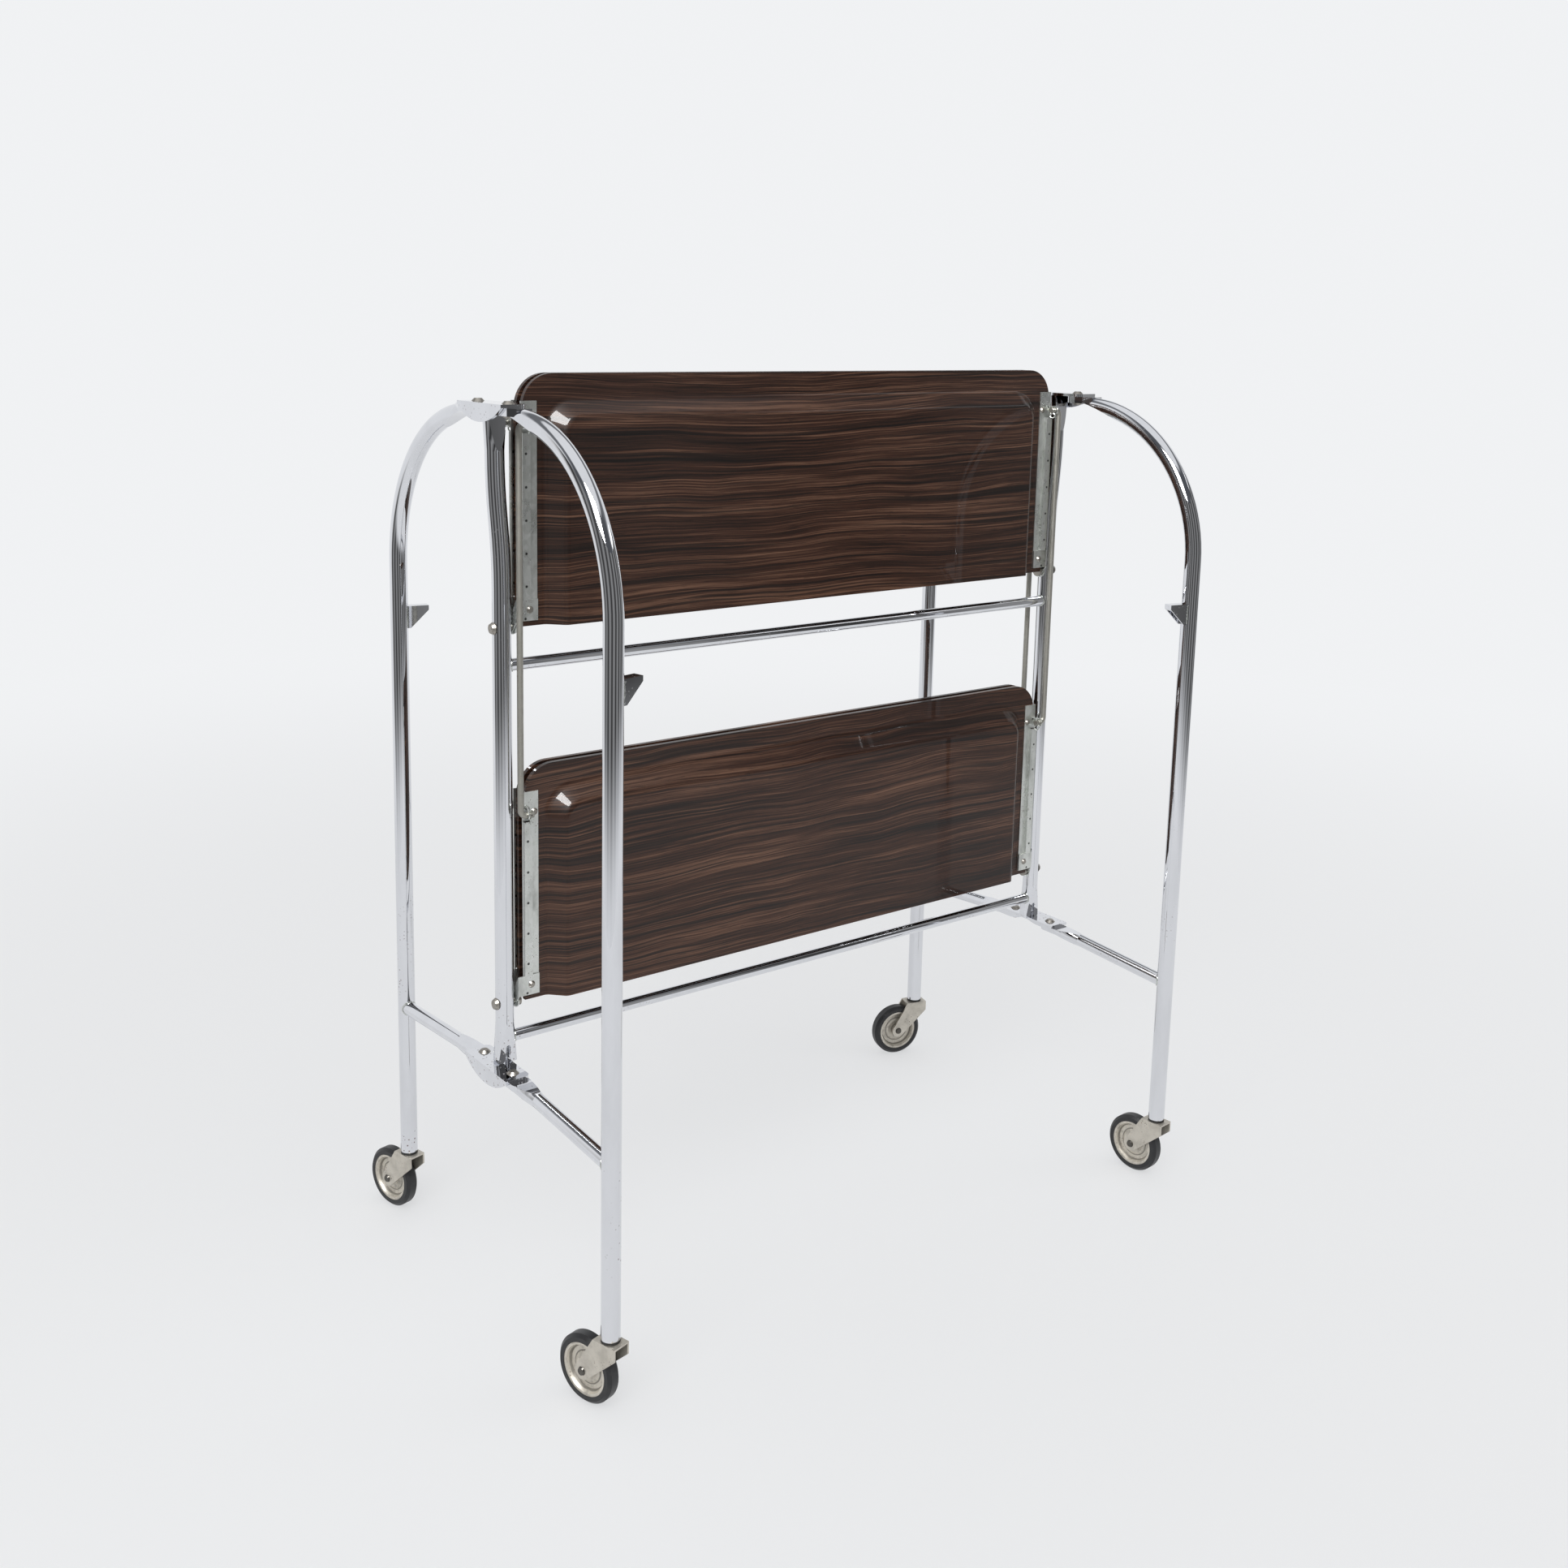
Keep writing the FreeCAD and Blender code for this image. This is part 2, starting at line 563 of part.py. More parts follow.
def leg_tube(name):
    """Origin on the hinge axis at the floor; the leg stands out along +Y."""
    body = new_body(name)
    arch = "(dims.leg_reach - dims.leg_straight)"
    crown_z = "(fit.clip_under_top - fit.tube_radius)"
    centre_z = f"({crown_z} - {arch})"
    turn = "dims.leg_blend_angle"
    under = "(fit.clip_under_top - dims.leg_end_thick)"
    shells = (("Additive", "fit.tube_radius", "0"), ("Subtractive", "fit.bore_radius", turn))
    for kind, radius, start in shells:
        springing = new_sketch(body, f"{kind}_springing", "XY", at=centre_z, shift=("0", "dims.leg_straight"))
        add_circle(springing, "0", arch, radius)
        revolve(body, f"{kind}_arch", springing, "H_Axis", f"90 - {start}", kind)
        upright = new_sketch(body, f"{kind}_upright", "XY", at="dims.leg_foot_z")
        add_circle(upright, "0", "dims.leg_reach", radius)
        cut_or_add(body, kind, f"{kind}_upright_tube", upright, f"{centre_z} - dims.leg_foot_z")
    inner = f"({arch} - fit.tube_radius)"
    y_end = f"(dims.leg_straight + {inner} * sin({turn}))"
    z_end = f"({centre_z} + {inner} * cos({turn}))"
    press = new_sketch(body, "press", "YZ")
    add_outline(press, [
        ("0", under),
        ("dims.leg_straight", under, f"-{arch}"),
        (y_end, z_end),
        (y_end, f"{z_end} - dims.tube_dia"),
        ("0", f"{z_end} - dims.tube_dia"),
    ])
    pocket(body, "pressed_flat", press)
    hinge_end(body, "leg", under)
    return body


def hinge_end(body, part, under):
    """The pressed flat end about the hinge axis, with its rivet hole."""
    half = f"dims.{part}_end_width / 2"
    straight = f"dims.{part}_straight"
    plan = new_sketch(body, "tongue", "XY", at=under)
    add_outline(plan, [
        (half, "0"),
        (half, straight),
        (f"dims.{part}_neck / 2", f"{straight} + {half}"),
        (f"-(dims.{part}_neck / 2)", f"{straight} + {half}"),
        (f"-({half})", straight),
        (f"-({half})", "0", HALF),
    ])
    pad(body, "tongue_pad", plan, f"dims.{part}_end_thick")
    hole = new_sketch(body, "hole", "XY", at=under)
    add_circle(hole, "0", "0", "fit.rivet_hole")
    pocket(body, "rivet_hole", hole)


def stretcher(name):
    """The lower arm between a bottom clip and its leg, in the leg's own frame."""
    body = new_body(name)
    half_flat = "(dims.stretcher_end_thick / 2)"
    flat_z = f"(fit.clip_under_bottom - {half_flat})"
    fall = "(dims.stretcher_fall / (dims.leg_reach - dims.stretcher_straight))"
    lean = f"-atan({fall})"
    along = f"((dims.leg_reach - dims.stretcher_straight) / cos(atan({fall})))"
    outer = "dims.stretcher_dia / 2"
    blend = "dims.stretcher_blend"
    shells = (
        ("Additive", outer, "dims.stretcher_end_width / 2"),
        ("Subtractive", f"({outer} - dims.stretcher_wall)", f"({half_flat} - dims.stretcher_wall)"),
    )
    for kind, radius, start in shells:
        spring = ("0", "dims.stretcher_straight")
        section = new_sketch(body, f"{kind}_section", "XY", at=flat_z, shift=spring, tilt=lean)
        add_outline(section, [
            ("0", "0"), (start, "0"), (radius, blend), (radius, along), ("0", along),
        ])
        revolve(body, f"{kind}_tube", section, "V_Axis", "360", kind)
        if kind == "Subtractive":
            continue
        press = new_sketch(body, "press", "YZ")
        far_y = f"(dims.stretcher_straight + {blend})"
        for way in ("", "-"):
            add_outline(press, [
                ("0", f"{flat_z} + {way}{half_flat}"),
                ("dims.stretcher_straight", f"{flat_z} + {way}{half_flat}"),
                (far_y, f"{flat_z} - {blend} * {fall} + {way}{outer}"),
                (far_y, f"{flat_z} + {way}dims.stretcher_end_width"),
                ("0", f"{flat_z} + {way}dims.stretcher_end_width"),
            ])
        pocket(body, "pressed_flat", press)
        hinge_end(body, "stretcher", "fit.clip_under_bottom - dims.stretcher_end_thick")
    cope = new_sketch(body, "cope", "XY", at=flat_z)
    add_circle(cope, "0", "dims.leg_reach", "fit.tube_radius")
    pocket(body, "coped_end", cope)
    return body


def tray_bracket(name):
    """A folded gusset welded to the leg, open below; the leg's axis is the body's own."""
    body = new_body(name)
    top = "fit.bracket_top"
    wall = "dims.bracket_thick"
    tip = "(fit.tube_radius + dims.bracket_reach)"
    side = new_sketch(body, "side", "XZ")
    add_outline(side, [
        ("0", top),
        ("0", f"{top} - dims.bracket_drop"),
        (f"fit.tube_radius + {wall}", f"{top} - dims.bracket_drop"),
        (tip, f"{top} - dims.bracket_lip"),
        (tip, top),
    ])
    pad(body, "gusset", side, "dims.bracket_width", SideType="Symmetric")
    inside = new_sketch(body, "inside", "XZ")
    add_box(inside, "0", f"{tip} - {wall}", f"{top} - dims.bracket_drop - {wall}", f"{top} - {wall}")
    pocket(body, "hollow", inside, f"dims.bracket_width - 2 * {wall}", SideType="Symmetric")
    cope = new_sketch(body, "cope", "XY", at=top)
    add_circle(cope, "0", "0", "fit.tube_radius")
    pocket(body, "coped_edge", cope)
    return body


# ---------------------------------------------------------------- castors

def castor_socket(name):
    """A flanged plug pressed into a leg tube, on the swivel axis."""
    body = new_body(name)
    foot = "dims.leg_foot_z"
    bore = "dims.stem_dia / 2 + dims.running_fit"
    section = new_sketch(body, "section", "XZ")
    add_outline(section, [
        (bore, f"{foot} - dims.socket_flange"),
        ("fit.tube_radius", f"{foot} - dims.socket_flange"),
        ("fit.tube_radius", foot),
        ("fit.bore_radius", foot),
        ("fit.bore_radius", f"{foot} + dims.socket_depth"),
        (bore, f"{foot} + dims.socket_depth"),
    ])
    revolve(body, "plug", section, "V_Axis")
    return body


def castor_fork(name):
    """A bent plate with a stem; the wheel trails along +Y of its swivel axis."""
    body = new_body(name)
    half = "dims.fork_length / 2"
    boss = "dims.fork_boss_radius"
    axle_z = "fit.wheel_radius"
    knee = "(fit.fork_top - dims.fork_cheek_drop)"
    lean = "dims.fork_cheek_lean"
    for side, start in (("right", "fit.fork_inner"), ("left", "-fit.fork_half")):
        cheek = new_sketch(body, f"{side}_cheek", "YZ", at=start)
        add_outline(cheek, [
            (f"-({half})", "fit.fork_top"),
            (f"-({half})", knee),
            (f"dims.castor_trail - {boss} * sin({lean})", f"{axle_z} - {boss} * cos({lean})", HALF),
            (f"dims.castor_trail + {boss} * sin({lean})", f"{axle_z} + {boss} * cos({lean})"),
            (half, "fit.fork_top"),
        ])
        pad(body, f"{side}_cheek_pad", cheek, "dims.fork_thick")
    plan = new_sketch(body, "plan", "XY", at="fit.fork_top - dims.fork_thick")
    add_box(plan, "-fit.fork_half", "fit.fork_half", f"-({half})", half)
    pad(body, "bridge", plan, "dims.fork_thick")
    stem = new_sketch(body, "stem", "XY", at="fit.fork_top")
    add_circle(stem, "0", "0", "dims.stem_dia / 2")
    pad(body, "stem_pad", stem, "dims.socket_flange + dims.side_play + dims.socket_depth - dims.stem_short")
    hole = new_sketch(body, "axle_hole", "YZ")
    add_circle(hole, "dims.castor_trail", axle_z, "dims.axle_dia / 2")
    pocket(body, "axle_holes", hole)
    return body


def castor_axle(name):
    """A riveted pin through both cheeks, along the body's X axis."""
    body = new_body(name)
    section = new_sketch(body, "section", "XY")
    head = "dims.axle_head_dia / 2"
    tip = "fit.fork_half + dims.fork_thick"
    add_outline(section, [
        (f"-({tip})", "0"),
        (f"-({tip})", f"{head} - dims.fork_thick / 2"),
        ("-fit.fork_half", head),
        ("-fit.fork_half", "dims.axle_dia / 2"),
        ("fit.fork_half", "dims.axle_dia / 2"),
        ("fit.fork_half", head),
        (tip, f"{head} - dims.fork_thick / 2"),
        (tip, "0"),
    ])
    revolve(body, "pin", section, "H_Axis")
    return body


def wheel_disc(name):
    """A pressed disc with rings and a hub tube, turned about the X axis."""
    body = new_body(name)
    bore = "dims.axle_dia / 2 + dims.running_fit"
    hub_x = "fit.fork_inner - dims.side_play"
    rim = "(fit.wheel_radius - dims.tyre_depth)"
    rim_x = "(dims.tyre_width / 2 - dims.disc_thick / 2)"
    hub = "dims.hub_dia / 2"
    web = "dims.disc_thick"
    ring = "dims.disc_ring"
    stations = [
        (hub_x, bore), (hub_x, hub), (web, hub), (f"{web} + {ring}", f"{rim} * 0.5"),
        (web, f"{rim} * 0.62"), (web, f"{rim} * 0.8"), (rim_x, f"{rim} * 0.9"), (rim_x, rim),
    ]
    section = new_sketch(body, "section", "XY")
    mirrored = [(f"-({x})", y) for x, y in reversed(stations)]
    add_outline(section, stations + mirrored)
    revolve(body, "disc", section, "H_Axis")
    return body


def tyre(name):
    """A ring with bevelled shoulders on the disc's rim."""
    body = new_body(name)
    rim = "(fit.wheel_radius - dims.tyre_depth)"
    half = "dims.tyre_width / 2"
    round_size = "dims.tyre_shoulder"
    section = new_sketch(body, "section", "XY")
    add_outline(section, [
        (f"-({half})", rim),
        (half, rim),
        (half, f"fit.wheel_radius - {round_size}"),
        (f"{half} - {round_size}", "fit.wheel_radius"),
        (f"-({half}) + {round_size}", "fit.wheel_radius"),
        (f"-({half})", f"fit.wheel_radius - {round_size}"),
    ])
    revolve(body, "ring", section, "H_Axis")
    return body


# ----------------------------------------------------------------- leaves
# A leaf's own origin is on its pivot; folded it stands up +Z and faces +Y.

def leaf_outline(sketch, inset, radius, foot="dims.leaf_lift"):
    """The leaf's outline moved in by an inset, square along its split edge."""
    side = f"(fit.leaf_half - {inset})"
    top = f"(fit.leaf_top - {inset})"
    add_outline(sketch, [
        (f"-{side}", foot),
        (side, foot),
        (side, f"{top} - {radius}", radius),
        (f"{side} - {radius}", top),
        (f"-{side} + {radius}", top, radius),
        (f"-{side}", f"{top} - {radius}"),
    ])


def slope_section(sketch, place, mirrored=False):
    """The section of the board between rim and well.

    place(inwards, depth) puts a point of it in the sketch: inwards is measured
    from the rim, and depth from the leaf's pivot plane.
    """
    bend = "fit.slope_bend"
    over = f"{bend} * sin(dims.slope_angle)"
    rise = f"{bend} * (1 - cos(dims.slope_angle))"
    near, far = "fit.leaf_back", "(fit.leaf_back + dims.tray_depth)"
    width, board = "dims.slope_width", "dims.board_thick"
    left, right = ("-", "") if mirrored else ("", "-")
    corners = [
        ("0", near, f"{left}{bend}"),
        (over, f"{near} + {rise}"),
        (f"{width} - {over}", f"{far} - {rise}", f"{right}{bend}"),
        (width, far),
        (width, f"{far} + {board}", f"{left}{bend}"),
        (f"{width} - {over}", f"{far} + {board} - {rise}"),
        (over, f"{near} + {board} + {rise}", f"{right}{bend}"),
        ("0", f"{near} + {board}"),
    ]
    add_outline(sketch, [(*place(f"({inwards})", depth), *bends) for inwards, depth, *bends in corners])


def tray_panel(name):
    """Half a tray, moulded from one board: rim, slope and sunken well."""
    body = new_body(name)
    well = "(dims.rim_width + dims.slope_width)"
    well_radius = "dims.well_corner_radius"
    mouth_radius = f"({well_radius} + dims.slope_width)"
    rim = new_sketch(body, "rim", "XZ", at="-fit.leaf_back")
    leaf_outline(rim, "0", "dims.leaf_corner_radius")
    pad(body, "rim_pad", rim, "dims.board_thick", Reversed=True)
    mouth = new_sketch(body, "mouth", "XZ", at="-fit.leaf_back")
    leaf_outline(mouth, "dims.rim_width", mouth_radius, foot="dims.leaf_lift - dims.board_thick")
    pocket(body, "mouth_cut", mouth)
    field = new_sketch(body, "well", "XZ", at="-(fit.leaf_back + dims.tray_depth)")
    leaf_outline(field, well, well_radius)
    pad(body, "well_pad", field, "dims.board_thick", Reversed=True)
    rim_side = "(fit.leaf_half - dims.rim_width)"
    rim_top = "(fit.leaf_top - dims.rim_width)"
    corner_z = f"({rim_top} - {mouth_radius})"
    corner_x = f"({rim_side} - {mouth_radius})"
    top = new_sketch(body, "top_slope", "YZ", at=f"-{corner_x}")
    slope_section(top, lambda inwards, depth: (depth, f"{rim_top} - {inwards}"))
    pad(body, "top_slope_pad", top, f"2 * {corner_x}")
    for side, way, mirrored in (("left", "-", False), ("right", "", True)):
        def seen_from(start):
            return lambda inwards, depth: (f"{way}({start} - {inwards})", depth)
        flank = new_sketch(body, f"{side}_slope", "XY", at="dims.leaf_lift")
        slope_section(flank, seen_from(rim_side), mirrored)
        pad(body, f"{side}_slope_pad", flank, f"{corner_z} - dims.leaf_lift")
        corner = new_sketch(body, f"{side}_corner", "XY", at=corner_z, shift=(f"{way}{corner_x}", "0"))
        slope_section(corner, seen_from(mouth_radius), mirrored)
        revolve(body, f"{side}_corner_turn", corner, "V_Axis", "90", "Additive", mirrored)
    holes = new_sketch(body, "screw_holes", "XZ")
    for x, z, _ in screw_spots():
        add_circle(holes, x, z, "dims.screw_dia / 2")
    pocket(body, "screw_bores", holes, "fit.board_face + dims.board_thick")
    return body


def screw_spots():
    """Where a leaf's screws go, as expressions for x, z and the seat of the head."""
    foot = "(dims.strap_foot + dims.foot_length / 2)"
    head = "dims.hook_height"
    inward = "(fit.strap_x - dims.strap_width / 4)"
    return [
        ("fit.strap_x", foot, "fit.ear_seat"),
        ("-fit.strap_x", foot, "fit.ear_seat"),
        (inward, head, "fit.strap_face"),
        (f"-{inward}", head, "fit.strap_face"),
    ]


def tray_straps(name):
    """Two ridged straps under a leaf, and the two ears that carry it on its bolts."""
    body = new_body(name)
    for key, side, ear in (("right", "", "fit.ear_far"), ("left", "-", "fit.ear_near")):
        strap_channel(body, key, side)
        hinge_ear(body, key, side, ear)
    pivots = new_sketch(body, "pivots", "YZ")
    add_circle(pivots, "0", "0", "dims.pivot_bolt_dia / 2 + dims.running_fit")
    pocket(body, "pivot_holes", pivots)
    hooks = new_sketch(body, "hooks", "YZ")
    add_circle(hooks, "dims.link_rod_y", "dims.hook_height", "fit.rod_radius + dims.side_play")
    pocket(body, "hook_holes", hooks)
    holes = new_sketch(body, "screw_holes", "XZ")
    for x, z, _ in screw_spots():
        add_circle(holes, x, z, "dims.screw_dia / 2")
    pocket(body, "screw_bores", holes, "fit.ear_seat + dims.strap_thick")
    return body


def strap_channel(body, key, side):
    """One strap: a flat foot and head, a raised ridge between them, and a lug."""
    thick = "dims.strap_thick"
    face = "fit.board_face"
    outer = "fit.strap_edge"
    inner = "(fit.strap_edge - dims.strap_width)"
    ridge_foot = "(dims.strap_foot + dims.foot_length)"
    ridge_head = "(fit.strap_head - dims.head_length)"
    for part, low, high in (("foot", "dims.strap_foot", ridge_foot), ("head", ridge_head, "fit.strap_head")):
        plate = new_sketch(body, f"{key}_{part}", "XZ", at=f"-{face}")
        add_box(plate, f"{side}{inner}", f"{side}{outer}", low, high)
        pad(body, f"{key}_{part}_plate", plate, thick, Reversed=True)
    ridge = new_sketch(body, f"{key}_ridge", "XY", at=ridge_foot)
    top = f"{face} + dims.strap_depth"
    step = f"({outer} - dims.ridge_width)"
    points = [
        (inner, face), (step, face), (step, f"{top} - {thick}"),
        (f"{outer} - {thick}", f"{top} - {thick}"), (f"{outer} - {thick}", face), (outer, face),
        (outer, top), (f"{step} - {thick}", top), (f"{step} - {thick}", f"{face} + {thick}"),
        (inner, f"{face} + {thick}"),
    ]
    add_outline(ridge, [(f"{side}({x})", y) for x, y in points])
    pad(body, f"{key}_ridge_pad", ridge, f"{ridge_head} - {ridge_foot}")
    lug = new_sketch(body, f"{key}_lug", "YZ", at=f"{side}{outer}")
    add_outline(lug, [
        (face, "dims.hook_height - dims.lug_margin"),
        ("dims.link_rod_y", "dims.hook_height - dims.lug_margin", HALF),
        ("dims.link_rod_y", "dims.hook_height + dims.lug_margin"),
        (face, "dims.hook_height + dims.lug_margin"),
    ])
    pad(body, f"{key}_lug_pad", lug, thick, Reversed=not side)


def hinge_ear(body, key, side, ear):
    """An angle screwed over a strap's foot; its ear turns on the pivot bolt."""
    thick = "dims.strap_thick"
    top = "(dims.strap_foot + dims.foot_length - dims.side_play)"
    near = "(fit.ear_seat - dims.strap_thick)"
    flange = new_sketch(body, f"{key}_flange", "XZ", at=f"-{near}")
    add_box(flange, f"{side}(fit.strap_edge - dims.strap_width)", f"{side}{ear}", "dims.strap_foot", top)
    pad(body, f"{key}_flange_pad", flange, thick, Reversed=True)
    plate = new_sketch(body, f"{key}_ear", "YZ", at=f"{side}{ear}")
    add_outline(plate, [
        ("fit.ear_seat", top),
        (near, top),
        ("0", "dims.ear_radius", HALF),
        ("0", "-dims.ear_radius"),
        ("fit.ear_seat", "dims.strap_foot"),
    ])
    pad(body, f"{key}_ear_pad", plate, thick, Reversed=not side)


def strap_screws(name):
    """Four screws that hold a leaf's straps to its board."""
    body = new_body(name)
    head, high = "dims.screw_head_dia / 2", "dims.screw_head_thick"
    shank, tip = "dims.screw_dia / 2", "fit.leaf_back + dims.screw_short"
    for index, (x, z, seat) in enumerate(screw_spots()):
        section = new_sketch(body, f"section_{index}", "XY", at=z, shift=(x, "0"))
        add_outline(section, [
            ("0", tip), (shank, tip), (shank, seat), (head, seat),
            (f"{head} * dims.head_crown", f"{seat} + {high}"), ("0", f"{seat} + {high}"),
        ])
        revolve(body, f"screw_{index}", section, "V_Axis")
    return body


def link_rod(name):
    """A rod hooked into the lugs of an upper and a lower leaf; origin midway up."""
    body = new_body(name)
    top = "(dims.link_length / 2)"
    out = "fit.link_rod_x"
    bend = "dims.rod_bend_radius"
    tail = "(fit.strap_edge - dims.rod_tail)"
    run = new_sketch(body, "run", "XY", at=f"-{top} + {bend}")
    add_circle(run, out, "0", "fit.rod_radius")
    pad(body, "long_run", run, f"2 * ({top} - {bend})")
    for end, way, reverse in (("upper", "", True), ("lower", "-", False)):
        level = f"{way}({top} - {bend})"
        corner = new_sketch(body, f"{end}_corner", "XY", at=level, shift=(f"{out} - {bend}", "0"))
        add_circle(corner, bend, "0", "fit.rod_radius")
        revolve(body, f"{end}_bend", corner, "V_Axis", "90", "Additive", reverse)
        hook = new_sketch(body, f"{end}_hook", "YZ", at=tail)
        add_circle(hook, "0", f"{way}{top}", "fit.rod_radius")
        pad(body, f"{end}_hook_run", hook, f"{out} - {bend} - {tail}")
    holes = new_sketch(body, "pin_holes", "XZ")
    pin_x = f"({tail} + fit.strap_edge - dims.strap_thick) / 2"
    for side in ("", "-"):
        add_circle(holes, pin_x, f"{side}{top}", "dims.split_pin_dia / 2")
    pocket(body, "pin_bores", holes)
    return body


# --------------------------------------------------------------- assembly

def build():
    left, right = -fit.post_x, fit.post_x
    place(post("post_left"), x=left, turn=180)
    place(post("post_right"), x=right)
    place(rail("upper_rail", "dims.pivot_upper_z - dims.rail_drop"))
    place(rail("lower_rail", "fit.lower_rail_z"))
    for level, top in (("top", "fit.clip_top_z"), ("bottom", "fit.clip_bottom_z")):
        place(clip(f"{level}_clip_left", top), x=-fit.hinge_x, turn=180)
        place(clip(f"{level}_clip_right", top), x=fit.hinge_x)
    place(hinge_rivets("hinge_rivets"))
    place(pivot_bolts("pivot_bolts"))
    for end, sign_y, turn in (("front", -1, 180), ("rear", 1, 0)):
        for side, sign_x in (("left", -1), ("right", 1)):
            corner = f"{end}_{side}"
            hinge = {"x": sign_x * fit.hinge_x, "y": sign_y * fit.hinge_y, "turn": turn}
            place(leg_tube(f"leg_tube_{corner}"), **hinge)
            place(stretcher(f"stretcher_{corner}"), **hinge)
            foot = {"x": sign_x * fit.hinge_x, "y": sign_y * fit.leg_y}
            inwards = (0 if sign_x < 0 else 180) + sign_x * sign_y * dimension("bracket_turn")
            place(tray_bracket(f"tray_bracket_{corner}"), turn=inwards, **foot)
            place(castor_socket(f"castor_socket_{corner}"), **foot)
            swivel = number(f"dims.castor_turn_{corner}")
            place(castor_fork(f"castor_fork_{corner}"), turn=swivel, **foot)
            trail = dimension("castor_trail")
            axle = {
                "x": foot["x"] - trail * math.sin(math.radians(swivel)),
                "y": foot["y"] + trail * math.cos(math.radians(swivel)),
                "z": fit.wheel_radius,
                "turn": swivel,
            }
            place(castor_axle(f"castor_axle_{corner}"), **axle)
            place(wheel_disc(f"wheel_disc_{corner}"), **axle)
            place(tyre(f"tyre_{corner}"), **axle)
        for level, height in (("upper", dimension("pivot_upper_z")), ("lower", fit.pivot_lower_z)):
            leaf = f"{level}_{end}"
            place(tray_panel(f"tray_panel_{leaf}"), z=height, turn=turn)
            place(tray_straps(f"tray_straps_{leaf}"), z=height, turn=turn)
            place(strap_screws(f"strap_screws_{leaf}"), z=height, turn=turn)
    hooks_z = (dimension("pivot_upper_z") + fit.pivot_lower_z) / 2 + dimension("hook_height")
    flips = {
        "rear_right": Vector(0, 0, 0), "rear_left": Vector(0, 1, 0),
        "front_right": Vector(1, 0, 0), "front_left": Vector(0, 0, 1),
    }
    for corner, axis in flips.items():
        rod_y = dimension("link_rod_y") * (1 if corner.startswith("rear") else -1)
        turn = 0 if corner == "rear_right" else 180
        place(link_rod(f"link_rod_{corner}"), y=rod_y, z=hooks_z, turn=turn, axis=axis)


def check():
    """Stop on any failed object or bad shape."""
    for item in doc.Objects:
        if {"Invalid", "Error"} & set(item.State):
            raise RuntimeError(f"{item.Label}: {item.State}")
    for body in bodies():
        if body.Shape.isNull() or not body.Shape.isValid():
            raise RuntimeError(f"{body.Label}: bad shape")


def bodies():
    return [item for item in doc.Objects if item.TypeId == "PartDesign::Body"]


def write_parts():
    os.makedirs("parts", exist_ok=True)
    for body in bodies():
        body.Shape.exportStep(os.path.join("parts", f"{body.Label}.step"))


build()
doc.recompute()
check()
write_parts()
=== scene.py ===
"""Finishes, small fittings and a plain studio for a folding tea trolley.

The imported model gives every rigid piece; this file adds their materials, the
split pins and weld beads, and the floor, lamps, room and camera.
Lengths are in metres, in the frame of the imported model.
"""

import json
import math
import random

import bmesh
import bpy
from mathutils import Matrix, Vector


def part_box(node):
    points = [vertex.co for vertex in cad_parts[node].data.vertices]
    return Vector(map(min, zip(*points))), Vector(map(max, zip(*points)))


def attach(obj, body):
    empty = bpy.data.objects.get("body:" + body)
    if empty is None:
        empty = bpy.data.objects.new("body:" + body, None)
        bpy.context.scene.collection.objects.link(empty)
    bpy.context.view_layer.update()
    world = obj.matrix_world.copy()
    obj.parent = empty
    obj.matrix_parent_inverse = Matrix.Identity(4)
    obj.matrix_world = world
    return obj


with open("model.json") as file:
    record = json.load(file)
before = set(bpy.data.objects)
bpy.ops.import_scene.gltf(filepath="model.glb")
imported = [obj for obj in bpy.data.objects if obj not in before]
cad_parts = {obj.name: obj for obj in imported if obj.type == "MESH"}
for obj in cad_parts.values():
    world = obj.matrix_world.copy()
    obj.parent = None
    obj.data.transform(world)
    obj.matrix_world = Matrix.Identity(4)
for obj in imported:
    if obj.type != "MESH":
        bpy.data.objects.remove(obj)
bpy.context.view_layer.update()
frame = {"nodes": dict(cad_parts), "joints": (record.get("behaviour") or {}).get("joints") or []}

bl_info = {
    "name": "Folding tea trolley",
    "version": (1, 0, 0),
    "blender": (4, 5, 0),
    "location": "View3D > Sidebar > Trolley",
    "description": "Finishes a folding tea trolley and sets up a plain studio round it",
    "category": "Object",
}

MM = 0.001
SIDES = (("left", -1), ("right", 1))
ENDS = (("front", -1), ("rear", 1))
LEVELS = ("upper", "lower")
CORNERS = [(f"{end}_{side}", sx, sy) for end, sy in ENDS for side, sx in SIDES]


def middle_y():
    """The middle plane of the folded frame, which lies beside the origin."""
    low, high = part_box("upper_rail")
    return (low.y + high.y) / 2


MIDDLE = middle_y()
# How far a pivot bolt's outer end stands past the post's axis.
BOLT_PAST_POST = 10 * MM


def post_axis(side):
    """A point on the straight lower part of a post's axis."""
    low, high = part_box(f"bottom_clip_{side}")
    bolt_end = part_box("pivot_bolts")[1].x
    return Vector((dict(SIDES)[side] * (bolt_end - BOLT_PAST_POST), MIDDLE, (low.z + high.z) / 2))


def leg_axis(corner):
    """A point on the axis of a leg's upright tube."""
    low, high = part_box(f"castor_socket_{corner}")
    return (low + high) / 2


# The part of the room that only reflections show: a dim round wall with a row
# of even, paler panels, which runs into the backdrop at both ends. Headings are
# in degrees from +Y towards +X.
ROOM_MIDDLE = 200
ROOM_SPAN = 210
ROOM_PANELS = 6
PANEL_SHADE = 0.30
GAP_SHADE = 0.04
END_SHADE = 0.86
ROOM_RADIUS = 1.3
ROOM_HEIGHT = 1.3
# Radius and width of the grooves pressed into a wheel disc, where its colour is made darker.
DISC_GROOVES = ((5.4 * MM, 1.0 * MM), (12.9 * MM, 0.9 * MM), (17.2 * MM, 0.8 * MM))
BACKDROP = (0.875, 0.885, 0.90)
DIM_ROOM = (0.10, 0.105, 0.115)
FLOOR_RADIUS = 14.0
